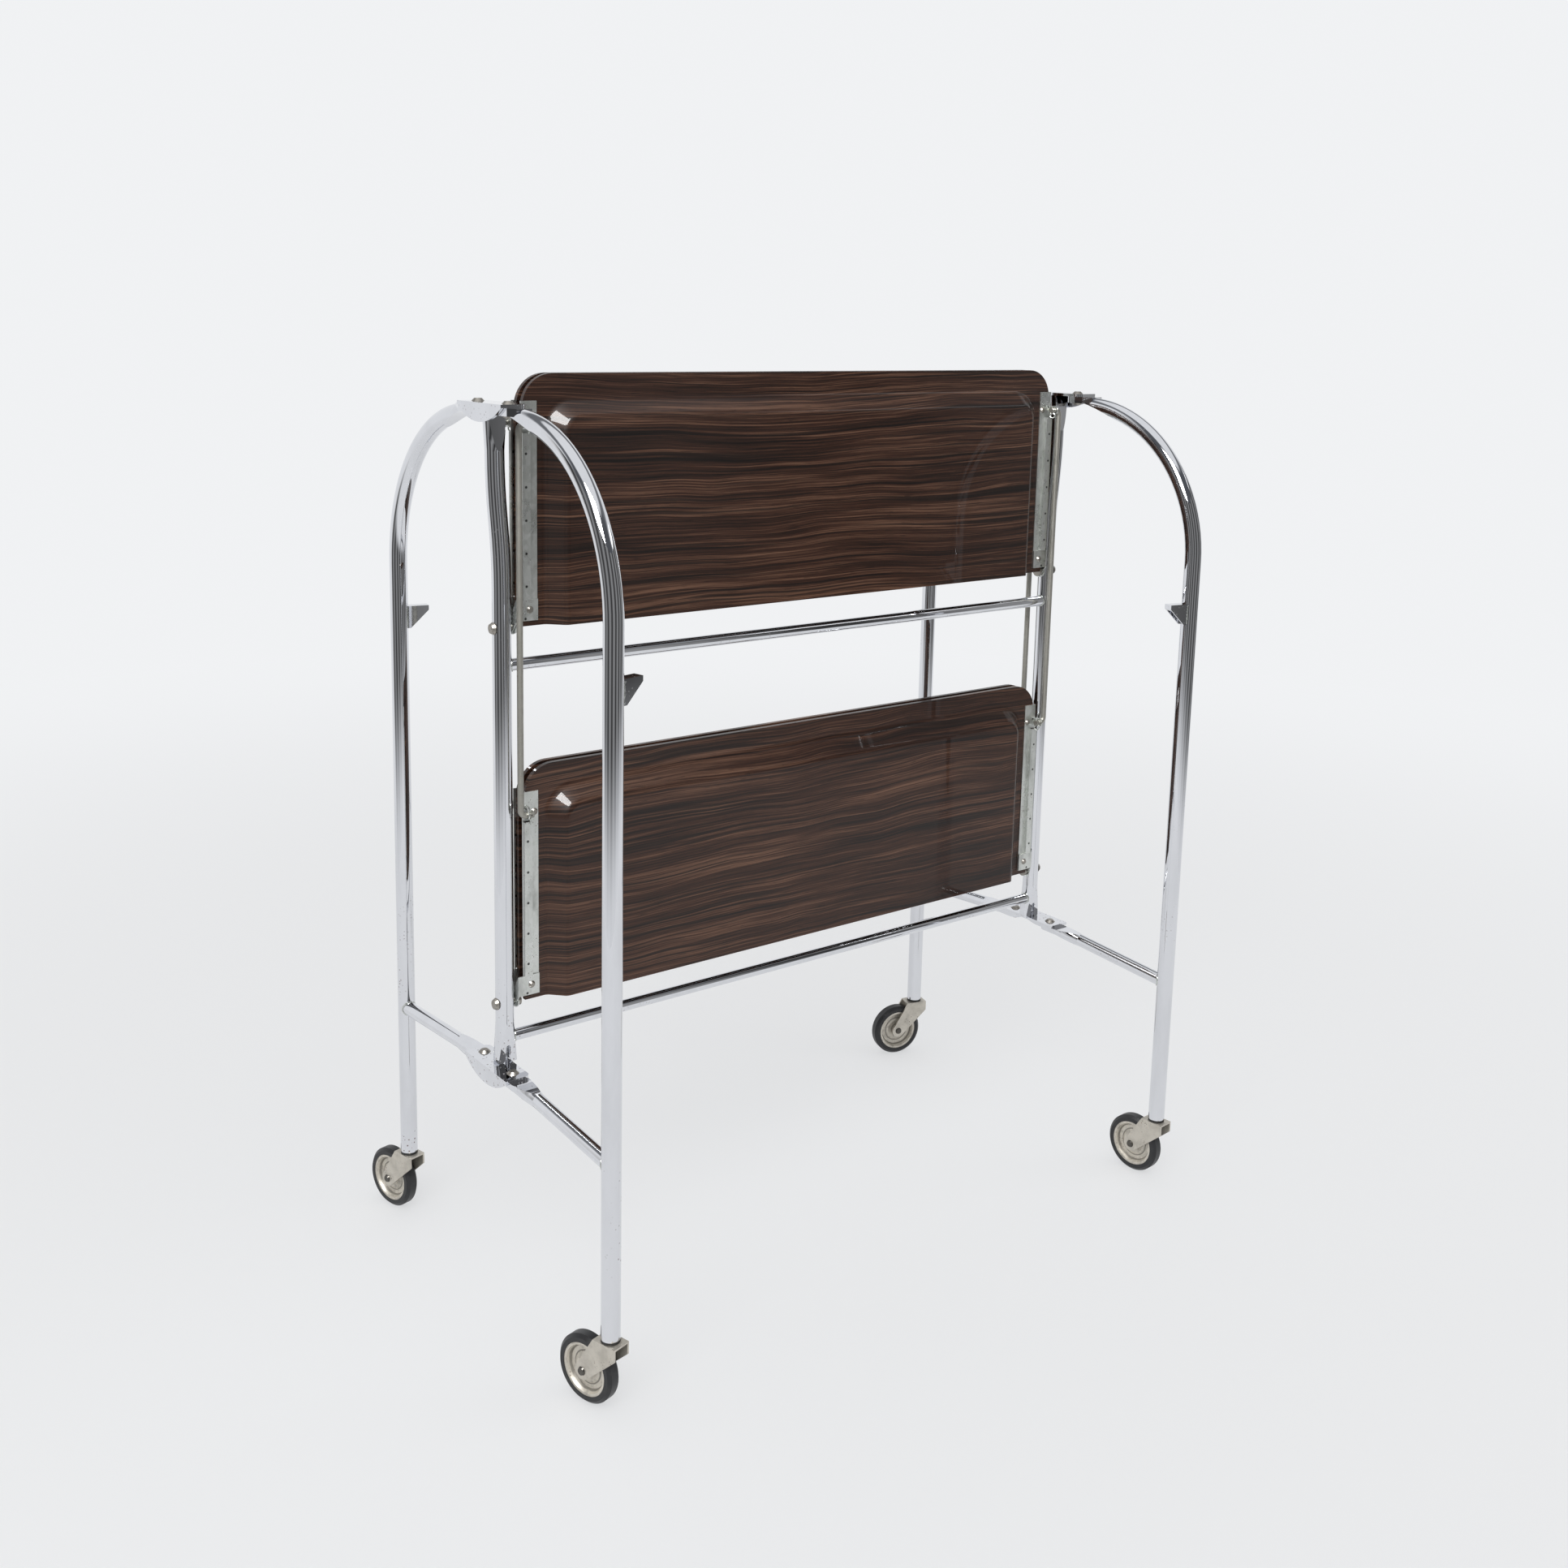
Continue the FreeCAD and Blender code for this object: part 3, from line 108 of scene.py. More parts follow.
# Place, aim and size of each lamp.
KEY_LAMP = ((-1.9, -1.5, 2.3), (0, MIDDLE, 0.4), (1.8, 1.8))
FILL_LAMP = ((2.4, -1.7, 1.5), (0, MIDDLE, 0.4), (1.2, 1.8))
WINDOW = ((-1.15, -0.95, 1.85), (-0.25, MIDDLE, 0.6), (0.85, 0.95))
# Radius of the link rods, and how far out from the middle their split pins sit.
ROD_RADIUS = 2.5 * MM
PIN_LINE = 283.5 * MM
# How far a split pin's head stands off the rod, and where its legs start to bend.
PIN_HEAD = 0.2 * MM
PIN_BEND = 0.6 * MM


# ---------------------------------------------------------------- settings

def colour(name, description, default):
    return bpy.props.FloatVectorProperty(
        name=name, description=description, subtype="COLOR", size=3,
        min=0.0, max=1.0, default=default)


def length(name, description, default):
    return bpy.props.FloatProperty(
        name=name, description=description, subtype="DISTANCE", unit="LENGTH",
        min=0.0, default=default)


class TrolleyColours(bpy.types.PropertyGroup):
    """Colours of the trolley's finishes."""

    chrome: colour("Chrome", "Plating of the tube frame", (0.74, 0.75, 0.78))
    wood_dark: colour("Dark grain", "Darkest streaks of the laminate", (0.0050, 0.0022, 0.0014))
    wood_mid: colour("Middle grain", "Ground colour of the laminate", (0.045, 0.0165, 0.0085))
    wood_light: colour("Light grain", "Lightest streaks of the laminate", (0.150, 0.074, 0.044))
    zinc: colour("Zinc", "Galvanised straps", (0.60, 0.62, 0.59))
    rod: colour("Rod", "Dull drawn wire of the link rods", (0.36, 0.35, 0.315))
    nickel: colour("Nickel", "Worn plating of the castors", (0.60, 0.565, 0.50))
    rivet: colour("Rivet", "Rivets, bolts and screws", (0.33, 0.31, 0.28))
    rust: colour("Rust", "Pits and stains on the plating", (0.085, 0.036, 0.016))
    rubber: colour("Rubber", "Tyres", (0.010, 0.0105, 0.0125))
    plastic: colour("Plastic", "Castor sockets", (0.012, 0.012, 0.012))
    floor: colour("Floor", "Floor under the trolley", (0.90, 0.905, 0.91))


class TrolleyFittings(bpy.types.PropertyGroup):
    """Sizes of the split pins, weld beads and holes drawn as dots of painted shade, and of what they
    sit on.
    """

    pin_wire: length("Split pin wire", "Half round wire of the split pins", 1.2 * MM)
    pin_eye: length("Split pin eye", "Radius of the eye of a split pin", 2.4 * MM)
    pin_leg: length("Split pin leg", "Length of a split pin's bent legs", 6 * MM)
    hole_pitch: length("Hole pitch", "Between the small holes along a strap's ridge", 25.5 * MM)
    hole_line: length("Hole line", "From the middle of the trolley out to those holes", 284 * MM)
    hole_radius: length("Hole radius", "Radius of those holes", 1.1 * MM)
    weld_bead: length("Weld bead", "Radius of the weld beads", 0.8 * MM)
    tube_radius: length("Tube radius", "Outside of the post and leg tubes", 7.5 * MM)
    post_swell: length("Post swell", "How much wider a post is at the lower rail", 0.8 * MM)
    stretcher_radius: length("Stretcher radius", "Outside of the stretchers", 6 * MM)
    bracket_width: length("Bracket width", "Width of a tray bracket", 9 * MM)


class TrolleyStudio(bpy.types.PropertyGroup):
    """Camera and lamps."""

    camera_place: bpy.props.FloatVectorProperty(
        name="Camera", description="Place of the camera", subtype="TRANSLATION",
        unit="LENGTH", size=3, default=(-0.9025, -1.14505, 0.8059))
    azimuth: bpy.props.FloatProperty(
        name="Azimuth", description="Camera's heading, from +Y towards +X",
        subtype="ANGLE", unit="ROTATION", default=math.radians(36.48))
    pitch: bpy.props.FloatProperty(
        name="Pitch", description="How far the camera looks down",
        subtype="ANGLE", unit="ROTATION", default=math.radians(10.13))
    roll: bpy.props.FloatProperty(
        name="Roll", description="Camera's turn about its own axis",
        subtype="ANGLE", unit="ROTATION", default=math.radians(1.03))
    lens: bpy.props.FloatProperty(
        name="Lens", description="Focal length for a sensor 36 mm wide",
        subtype="DISTANCE_CAMERA", unit="CAMERA", default=38.29)
    shift: bpy.props.FloatVectorProperty(
        name="Shift", description="Camera shift, as a share of the frame",
        subtype="XYZ", size=2, default=(0.02645, -0.1075))
    key_power: bpy.props.FloatProperty(
        name="Key lamp", description="Power of the large lamp on the left",
        subtype="POWER", unit="POWER", min=0.0, default=26.0)
    window_power: bpy.props.FloatProperty(
        name="Window", description="Power of the small lamp that glints on the leaves' corners",
        subtype="POWER", unit="POWER", min=0.0, default=80.0)
    fill_power: bpy.props.FloatProperty(
        name="Fill lamp", description="Power of the lamp on the right",
        subtype="POWER", unit="POWER", min=0.0, default=9.0)
    sky: bpy.props.FloatProperty(
        name="Room light", description="Strength of the even light of the room",
        subtype="FACTOR", min=0.0, max=2.0, default=0.62)


# ----------------------------------------------------------- shader maths

class Value:
    """An output socket that can stand in a Python expression."""

    def __init__(self, graph, socket):
        self.graph = graph
        self.socket = socket

    def _math(self, operation, first, second):
        return self.graph.make("Math", {"operation": operation}, {0: first, 1: second})["Value"]

    def _alone(self, operation):
        return self.graph.make("Math", {"operation": operation}, {0: self})["Value"]

    def __add__(self, other):
        return self._math("ADD", self, other)

    def __sub__(self, other):
        return self._math("SUBTRACT", self, other)

    def __rsub__(self, other):
        return self._math("SUBTRACT", other, self)

    def __mul__(self, other):
        return self._math("MULTIPLY", self, other)

    def __truediv__(self, other):
        return self._math("DIVIDE", self, other)

    def __rtruediv__(self, other):
        return self._math("DIVIDE", other, self)

    def __pow__(self, other):
        return self._math("POWER", self, other)

    def __rpow__(self, other):
        return self._math("POWER", other, self)

    def over(self, other):
        """1 where this is more than the other value, else 0."""
        return self._math("GREATER_THAN", self, other)

    def most(self, other):
        """The larger of the two values."""
        return self._math("MAXIMUM", self, other)

    def absolute(self):
        return self._alone("ABSOLUTE")

    def fraction(self):
        """What is left above the next whole number below."""
        return self._alone("FRACT")

    __radd__ = __add__
    __rmul__ = __mul__


class Made:
    """A node that has been made; its outputs are read by name or number."""

    def __init__(self, graph, node):
        self.graph = graph
        self.node = node

    def __getitem__(self, name):
        return Value(self.graph, self.node.outputs[name])


class Graph:
    """The node tree of a material or of the world."""

    def __init__(self, owner):
        owner.use_nodes = True
        self.tree = owner.node_tree
        self.tree.nodes.clear()

    def make(self, kind, settings=None, inputs=None):
        """Add a node, set it up, and give its inputs values or links."""
        node = self.tree.nodes.new(f"ShaderNode{kind}")
        for name, value in (settings or {}).items():
            if name == "stops":
                self._stops(node.color_ramp, value)
            elif name == "ease":
                node.color_ramp.interpolation = value
            else:
                setattr(node, name, value)
        for name, value in (inputs or {}).items():
            self.feed(node.inputs[name], value)
        return Made(self, node)

    def feed(self, socket, value):
        """Link a socket to a value, or set it; a colour of three parts is made opaque."""
        if isinstance(value, Value):
            self.tree.links.new(value.socket, socket)
            return
        parts = getattr(socket.default_value, "__len__", lambda: 1)()
        if parts == 4 and len(value) == 3:
            value = (*value, 1.0)
        socket.default_value = value

    def _stops(self, ramp, stops):
        while len(ramp.elements) < len(stops):
            ramp.elements.new(0.5)
        for element, (position, tint) in zip(ramp.elements, stops):
            element.position = position
            element.color = (*tint, 1.0)

    # The rest are the nodes that most finishes share.

    def split(self, point):
        """The node whose outputs X, Y and Z are a vector's parts."""
        return self.make("SeparateXYZ", None, {"Vector": point})

    def join(self, x, y, z):
        return self.make("CombineXYZ", None, {"X": x, "Y": y, "Z": z})["Vector"]

    def vector(self, operation, first, second=None, result="Vector"):
        inputs = {0: first} if second is None else {0: first, 1: second}
        return self.make("VectorMath", {"operation": operation}, inputs)[result]

    def channel(self, tint, name):
        return self.make("SeparateColor", None, {"Color": tint})[name]

    def place(self, scale=(1, 1, 1), shift=(0, 0, 0)):
        """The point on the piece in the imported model's frame, scaled."""
        point = self.make("TexCoord")["Object"]
        return self.make("Mapping", {"vector_type": "POINT"},
                         {"Vector": point, "Scale": scale, "Location": shift})["Vector"]

    def noise(self, point, scale, detail=4.0, rough=0.5, distort=0.0):
        return self.make("TexNoise", {"noise_dimensions": "3D"}, {
            "Vector": point, "Scale": scale, "Detail": detail,
            "Roughness": rough, "Distortion": distort})["Fac"]

    def spread(self, value, low, high, start=0.0, end=1.0):
        """Map low..high to start..end, held at both ends."""
        return self.make("MapRange", {"interpolation_type": "SMOOTHSTEP", "clamp": True}, {
            "Value": value, "From Min": low, "From Max": high,
            "To Min": start, "To Max": end})["Result"]

    def mix(self, factor, first, second):
        """Blend two colours; a Mix node's colour sockets are told apart by number alone."""
        return self.make("Mix", {"data_type": "RGBA"}, {0: factor, 6: first, 7: second})[2]

    def bump(self, height, strength, distance):
        return self.make("Bump", None, {
            "Height": height, "Strength": strength, "Distance": distance})["Normal"]

    def surface(self, inputs):
        """End the tree in one Principled shader."""
        shader = self.make("BsdfPrincipled", None, inputs)["BSDF"]
        self.make("OutputMaterial", None, {"Surface": shader})


def scaled(tint, share):
    """A colour made darker or lighter as a whole."""
    return [part * share for part in tint]


def blended(first, second, first_share, second_share):
    return [a * first_share + b * second_share for a, b in zip(first, second)]


def new_finish(name):
    material = bpy.data.materials.new(name)
    return material, Graph(material)


def rust_pits(graph, scale, low, high, patch_scale=14.0, patch_low=0.5, patch_high=0.62):
    """A mask of small pits that gather in patches."""
    cells = graph.make("TexVoronoi", {"feature": "F1", "distance": "EUCLIDEAN"}, {
        "Vector": graph.place(), "Scale": scale, "Randomness": 1.0})
    pit = graph.spread(cells["Distance"], low, high, 1.0, 0.0)
    chosen = graph.channel(cells["Color"], "Red").over(0.55)
    patch = graph.spread(graph.noise(graph.place(), patch_scale, 3.0), patch_low, patch_high)
    return pit * chosen * patch


def chrome_finish(colours, name="bright_chrome", rusty=0.0):
    """Bright plating with fine smears, a few pits and rust near the floor."""
    material, graph = new_finish(name)
    smear = graph.noise(graph.place((9, 9, 2.2)), 6.0, 5.0, 0.6)
    haze = graph.noise(graph.place(), 55.0, 3.0, 0.6)
    pits = rust_pits(graph, 330.0, 0.10, 0.34, 11.0, 0.55 - 0.12 * rusty, 0.68 - 0.1 * rusty)
    low_down = graph.spread(graph.split(graph.place())["Z"], 0.12, 0.30, 1.0, 0.35)
    pits = pits * low_down
    smeared = graph.spread(smear, 0.35, 0.75, 0.0, 0.22)
    tint = graph.mix(smeared, colours.chrome, scaled(colours.chrome, 0.72))
    tint = graph.mix(pits, tint, colours.rust)
    gloss = graph.spread(haze, 0.3, 0.8, 0.015, 0.05) + pits * 0.5
    ripple = graph.noise(graph.place((1, 1, 0.35)), 38.0, 2.0)
    relief = ripple * 0.35 - pits
    graph.surface({
        "Base Color": tint, "Metallic": 1.0 - pits * 0.85, "Roughness": gloss,
        "Normal": graph.bump(relief, 0.03, 0.0006)})
    return material


def laminate_finish(colours):
    """Dark walnut grain along the trays under a clear gloss."""
    material, graph = new_finish("walnut_laminate_gloss")
    parts = graph.split(graph.place())
    # Each leaf is cut from its own stretch of the sheet.
    offset = parts["Y"].over(MIDDLE) * 3.7 + parts["Z"].over(0.5) * 1.9
    drift = graph.noise(graph.join(parts["X"] * 5.0 + offset, offset, parts["Z"] * 9.0), 1.0, 2.0, 0.5)
    across = parts["Z"] + (drift - 0.5) * 0.024

    def grain(along, density, *noise, start=offset, depth=offset):
        """Noise drawn out along the leaf; along and density are per metre."""
        return graph.noise(graph.join(parts["X"] * along + start, depth, across * density), 1.0, *noise)

    broad = grain(2.4, 52.0, 4.0, 0.6, 0.2, depth=offset + parts["Y"] * 0.6)
    veins = graph.spread(grain(2.8, 330.0, 2.0, 0.5), 0.55, 0.61)
    bands = grain(4.0, 230.0, 3.0, 0.6)
    streak = grain(7.0, 860.0, 4.0, 0.65)
    pores = graph.spread(grain(46.0, 1150.0, 2.0, 0.5, start=0.0), 0.60, 0.68)
    tone = broad * 0.30 + bands * 0.24 + streak * 0.46
    ramp = graph.make("ValToRGB", {"stops": [
        (0.38, colours.wood_dark),
        (0.45, blended(colours.wood_dark, colours.wood_mid, 0.5, 0.5)),
        (0.505, colours.wood_mid),
        (0.60, colours.wood_light),
        (0.70, scaled(colours.wood_light, 1.35)),
    ]}, {"Fac": tone})["Color"]
    tint = graph.mix((pores * 0.55).most(veins * 0.72), ramp, colours.wood_dark)
    wave = graph.noise(graph.place(), 16.0, 2.0, 0.5)
    graph.surface({
        "Base Color": tint,
        "Roughness": graph.spread(streak, 0.3, 0.7, 0.44, 0.56), "Specular IOR Level": 0.15,
        "Coat Weight": 0.5, "Coat Roughness": 0.03, "Coat IOR": 1.45,
        "Normal": graph.bump(wave * 0.6 + pores * 0.02, 0.10, 0.0012)})
    return material


def zinc_finish(colours, fittings):
    """Galvanised sheet with faint spangle, streaks, rust, and dark dots painted as the shade inside a
    row of small holes.
    """
    material, graph = new_finish("galvanised_sheet")
    spangle = graph.make("TexVoronoi", {"feature": "F1"}, {
        "Vector": graph.place(), "Scale": 260.0, "Randomness": 1.0})
    flake = graph.channel(spangle["Color"], "Green")
    cloud = graph.noise(graph.place((1, 1, 0.4)), 70.0, 6.0, 0.65)
    pits = rust_pits(graph, 480.0, 0.08, 0.32, 24.0, 0.52, 0.66)
    parts = graph.split(graph.place())
    # Painted shade: dark dots along the strap's ridge stand in for the shade inside its small holes.
    beside = parts["X"].absolute() - fittings.hole_line
    along = ((parts["Z"] / fittings.hole_pitch).fraction() - 0.5) * fittings.hole_pitch
    reach = (beside * beside + along * along) ** 0.5
    edge = fittings.hole_radius
    painted_hole_shade = graph.spread(reach, 0.8 * edge, 1.1 * edge, 1.0, 0.0)
    bright = [min(part, 0.8) for part in scaled(colours.zinc, 1.45)]
    tint = graph.mix(flake * 0.35, colours.zinc, bright)
    tint = graph.mix(graph.spread(cloud, 0.48, 0.72, 0.0, 0.55), tint, scaled(colours.zinc, 0.48))
    tint = graph.mix(pits * 0.8, tint, colours.rust)
    # The dark dots of the holes are painted shade.
    tint = graph.mix(painted_hole_shade * 0.9, tint, (0.02, 0.02, 0.02))
    graph.surface({
        "Base Color": tint, "Metallic": 0.95 - pits * 0.8,
        "Roughness": graph.spread(cloud, 0.3, 0.75, 0.22, 0.42) + flake * 0.05,
        "Normal": graph.bump(cloud + flake * 0.3 - pits, 0.22, 0.0004)})
    return material


def worn_metal(name, base, colours, shine=0.9, rough=(0.26, 0.46), rusty=0.6):
    """Plated steel with clouds, fine scratches and rust pits."""
    material, graph = new_finish(name)
    cloud = graph.noise(graph.place(), 95.0, 6.0, 0.62)
    scratch = graph.noise(graph.place((1, 1, 14)), 150.0, 3.0, 0.5)
    wider = 0.14 * rusty
    pits = rust_pits(graph, 520.0, 0.10, 0.36, 42.0, 0.58 - wider, 0.74 - wider)
    stain = graph.spread(graph.noise(graph.place(), 60.0, 5.0, 0.7), 0.55, 0.72, 0.0, 0.5 * rusty)
    tint = graph.mix(graph.spread(cloud, 0.35, 0.72, 0.0, 0.5), base, scaled(base, 0.58))
    tint = graph.mix(stain, tint, blended(colours.rust, base, 0.5, 0.3))
    tint = graph.mix(pits, tint, colours.rust)
    graph.surface({
        "Base Color": tint, "Metallic": shine - (pits * 0.75).most(stain * 0.5),
        "Roughness": graph.spread(cloud, 0.3, 0.75, *rough) + pits * 0.3,
        "Normal": graph.bump(scratch * 0.4 + cloud * 0.5 - pits, 0.25, 0.0003)})
    return material


def disc_finish(colours, joint):
    """Worn nickel with random dirt, darker in the pressed rings about a wheel's axle."""
    material, graph = new_finish(f"stained_disc_{joint['child']}")
    arm = graph.vector("SUBTRACT", graph.place(), joint["pos_m"])
    reach = graph.vector("LENGTH", graph.vector("CROSS_PRODUCT", arm, joint["axis"]), result="Value")
    cloud = graph.noise(graph.place(), 130.0, 6.0, 0.65)
    wander = reach + (cloud - 0.5) * (1.2 * MM)
    dirt_and_dark_grooves = graph.spread(cloud, 0.45, 0.70, 0.0, 0.5)
    # Besides random dirt, the colour is made darker in each pressed groove.
    for radius, width in DISC_GROOVES:
        off = (wander - radius).absolute()
        dirt_and_dark_grooves = dirt_and_dark_grooves.most(graph.spread(off, 0.3 * width, width, 0.85, 0.0))
    pits = rust_pits(graph, 560.0, 0.10, 0.36, 60.0, 0.46, 0.62)
    tint = graph.mix(dirt_and_dark_grooves, scaled(colours.nickel, 1.08), scaled(colours.nickel, 0.34))
    tint = graph.mix(pits * 0.8, tint, colours.rust)
    graph.surface({
        "Base Color": tint, "Metallic": 0.55 - pits * 0.4,
        "Roughness": graph.spread(cloud, 0.3, 0.75, 0.42, 0.62),
        "Normal": graph.bump(cloud * 0.6 - dirt_and_dark_grooves * 0.8 - pits, 0.3, 0.0003)})
    return material


def rubber_finish(colours):
    """Dull black rubber, dusty where it rolls."""
    material, graph = new_finish("tyre_rubber_black")
    dust = graph.spread(graph.noise(graph.place(), 120.0, 6.0, 0.7), 0.45, 0.75, 0.0, 0.12)
    grain = graph.noise(graph.place(), 900.0, 3.0, 0.6)
    graph.surface({
        "Base Color": graph.mix(dust, colours.rubber, (0.12, 0.11, 0.10)),
        "Roughness": graph.spread(dust, 0.0, 0.25, 0.42, 0.7),
        "Normal": graph.bump(grain, 0.2, 0.0002)})
    return material


def plastic_finish(colours):
    """Black moulded plastic."""
    material, graph = new_finish("socket_plastic_black")
    grain = graph.noise(graph.place(), 700.0, 3.0, 0.5)
    graph.surface({
        "Base Color": graph.mix(grain * 0.3, colours.plastic, scaled(colours.plastic, 2.2)),
        "Roughness": graph.spread(grain, 0.3, 0.7, 0.4, 0.55),
        "Normal": graph.bump(grain, 0.15, 0.0002)})
    return material


# -------------------------------------------------------------- mesh tools

# Faces that meet more steeply than this keep a sharp edge.
SHARP_ANGLE = math.radians(40.0)


def add_piece(name, mesh, material, body):
    """Link a finished mesh as a piece that rides on a body."""
    for polygon in mesh.polygons:
        polygon.use_smooth = True
    mesh.set_sharp_from_angle(angle=SHARP_ANGLE)
    piece = bpy.data.objects.new(name, mesh)
    bpy.context.scene.collection.objects.link(piece)
    mesh.materials.append(material)
    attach(piece, body)


def turns(count):
    """Evenly spaced angles round one full turn."""
    return [math.tau * k / count for k in range(count)]


def sweep(shape, points, radius, sides=10, closed=False, swell=None):
    """Add a round wire along a list of points to a bmesh."""
    count = len(points)
    rings = []
    normal = None
    for index, point in enumerate(points):
        before = points[index - 1] if index or closed else point
        after = points[(index + 1) % count] if index < count - 1 or closed else point
        along = (after - before).normalized()
        if normal is None:
            guess = Vector((0, 0, 1)) if abs(along.z) < 0.9 else Vector((1, 0, 0))
            normal = along.cross(guess).normalized()
        else:
            normal = (normal - along * normal.dot(along)).normalized()
        side = along.cross(normal)
        size = radius * (swell[index] if swell else 1.0)
        rings.append([shape.verts.new(point + size * (math.cos(t) * normal + math.sin(t) * side))
                      for t in turns(sides)])
    pairs = list(zip(rings, rings[1:])) + ([(rings[-1], rings[0])] if closed else [])
    for first, second in pairs:
        for k in range(sides):
            after = (k + 1) % sides
            shape.faces.new((first[k], first[after], second[after], second[k]))
    if not closed:
        shape.faces.new(rings[0][::-1])
        shape.faces.new(rings[-1])


def to_mesh(shape, name):
    """Turn a bmesh into a mesh with its faces outward."""
    bmesh.ops.recalc_face_normals(shape, faces=shape.faces)
    mesh = bpy.data.meshes.new(name)
    shape.to_mesh(mesh)
    shape.free()
    return mesh


# ---------------------------------------------------------------- finishes

def paint(nodes, material):
    """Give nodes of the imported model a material."""
    for name in nodes:
        mesh = frame["nodes"][name].data
        mesh.materials.clear()
        mesh.materials.append(material)


def corner_nodes(*parts):
    return [f"{part}_{corner}" for part in parts for corner, _, _ in CORNERS]


def leaf_nodes(part):
    return [f"{part}_{level}_{end}" for level in LEVELS for end, _ in ENDS]


class Operator(bpy.types.Operator):
    """Shared by all the trolley's operators."""

    bl_options = {"REGISTER", "UNDO"}

    @property
    def colours(self):
        return bpy.context.scene.trolley_colours

    @property
    def fittings(self):
        return bpy.context.scene.trolley_fittings

class TROLLEY_OT_tubes(Operator):
    """Plate the posts, rails, clips, legs, stretchers and brackets"""

    bl_idname = "trolley.tubes"
    bl_label = "Chrome tubes"

    def execute(self, context):
        bright = chrome_finish(self.colours)
        worn = chrome_finish(self.colours, "worn_chrome", rusty=1.0)
        paint(["post_left", "post_right", "upper_rail", "lower_rail"], bright)
        paint(corner_nodes("leg_tube", "stretcher"), bright)
        paint(["top_clip_left", "top_clip_right", "bottom_clip_left", "bottom_clip_right"], worn)
        paint(corner_nodes("tray_bracket"), worn)
        return {"FINISHED"}


class TROLLEY_OT_leaves(Operator):
    """Cover the four leaves with glossy walnut laminate"""

    bl_idname = "trolley.leaves"
    bl_label = "Laminate leaves"

    def execute(self, context):
        paint(leaf_nodes("tray_panel"), laminate_finish(self.colours))
        return {"FINISHED"}


class TROLLEY_OT_hardware(Operator):
    """Finish the straps, screws, link rods, rivets and bolts"""

    bl_idname = "trolley.hardware"
    bl_label = "Straps and rods"

    def execute(self, context):
        paint(leaf_nodes("tray_straps"), zinc_finish(self.colours, self.fittings))
        paint(leaf_nodes("strap_screws"), worn_metal(
            "screw_steel", self.colours.rivet, self.colours, rusty=0.4))
        paint(corner_nodes("link_rod"), worn_metal(
            "dull_rod_steel", self.colours.rod, self.colours,
            shine=0.75, rough=(0.38, 0.56), rusty=0.3))
        paint(["hinge_rivets", "pivot_bolts"], worn_metal(
            "rivet_head_steel", self.colours.rivet, self.colours))
        return {"FINISHED"}


class TROLLEY_OT_castors(Operator):
    """Finish the castor forks, discs, axles, tyres and sockets"""

    bl_idname = "trolley.castors"
    bl_label = "Castors"

    def execute(self, context):
        paint(corner_nodes("castor_fork"), worn_metal(
            "worn_nickel", self.colours.nickel, self.colours, shine=0.75, rough=(0.34, 0.52)))
        spins = {joint["child"]: joint for joint in frame["joints"]}
        for corner, _, _ in CORNERS:
            paint([f"wheel_disc_{corner}"], disc_finish(self.colours, spins[f"wheel_{corner}"]))
        paint(corner_nodes("castor_axle"), worn_metal(
            "axle_steel", scaled(self.colours.rivet, 0.35), self.colours, rusty=1.0))
        paint(corner_nodes("tyre"), rubber_finish(self.colours))
        paint(corner_nodes("castor_socket"), plastic_finish(self.colours))
        return {"FINISHED"}


UP = Vector((0, 0, 1))
WELD_SEED = 4
# Steps along a straight bead, and the share of a bracket's height at which its
# beads start and the share that they run.
BEAD_STEPS = 12
BRACKET_WELD = (0.06, 0.88)
# Those beads are this much of the others' thickness.
THIN_BEAD = 0.9
# A stretcher's axis lies this many of its radii above its box.
STRETCHER_LIFT = 1.02


def bead(shape, points, radius, rng, closed=True):
    """A weld bead: a lumpy wire along a line."""
    swell = [rng.uniform(0.75, 1.25) for _ in points]
    sweep(shape, points, radius, 8, closed=closed, swell=swell)


def saddle(centre, along, tube_axis, small, large, steps=40):
    """The curve where a tube of radius small, running 'along', meets one of radius large.

    centre is on the large tube's axis, at the small tube's height.
    """
    side = along.cross(tube_axis)
    return [centre + side * (small * math.sin(t)) + tube_axis * (small * math.cos(t))
            + along * math.sqrt(large ** 2 - (small * math.sin(t)) ** 2)
            for t in turns(steps)]


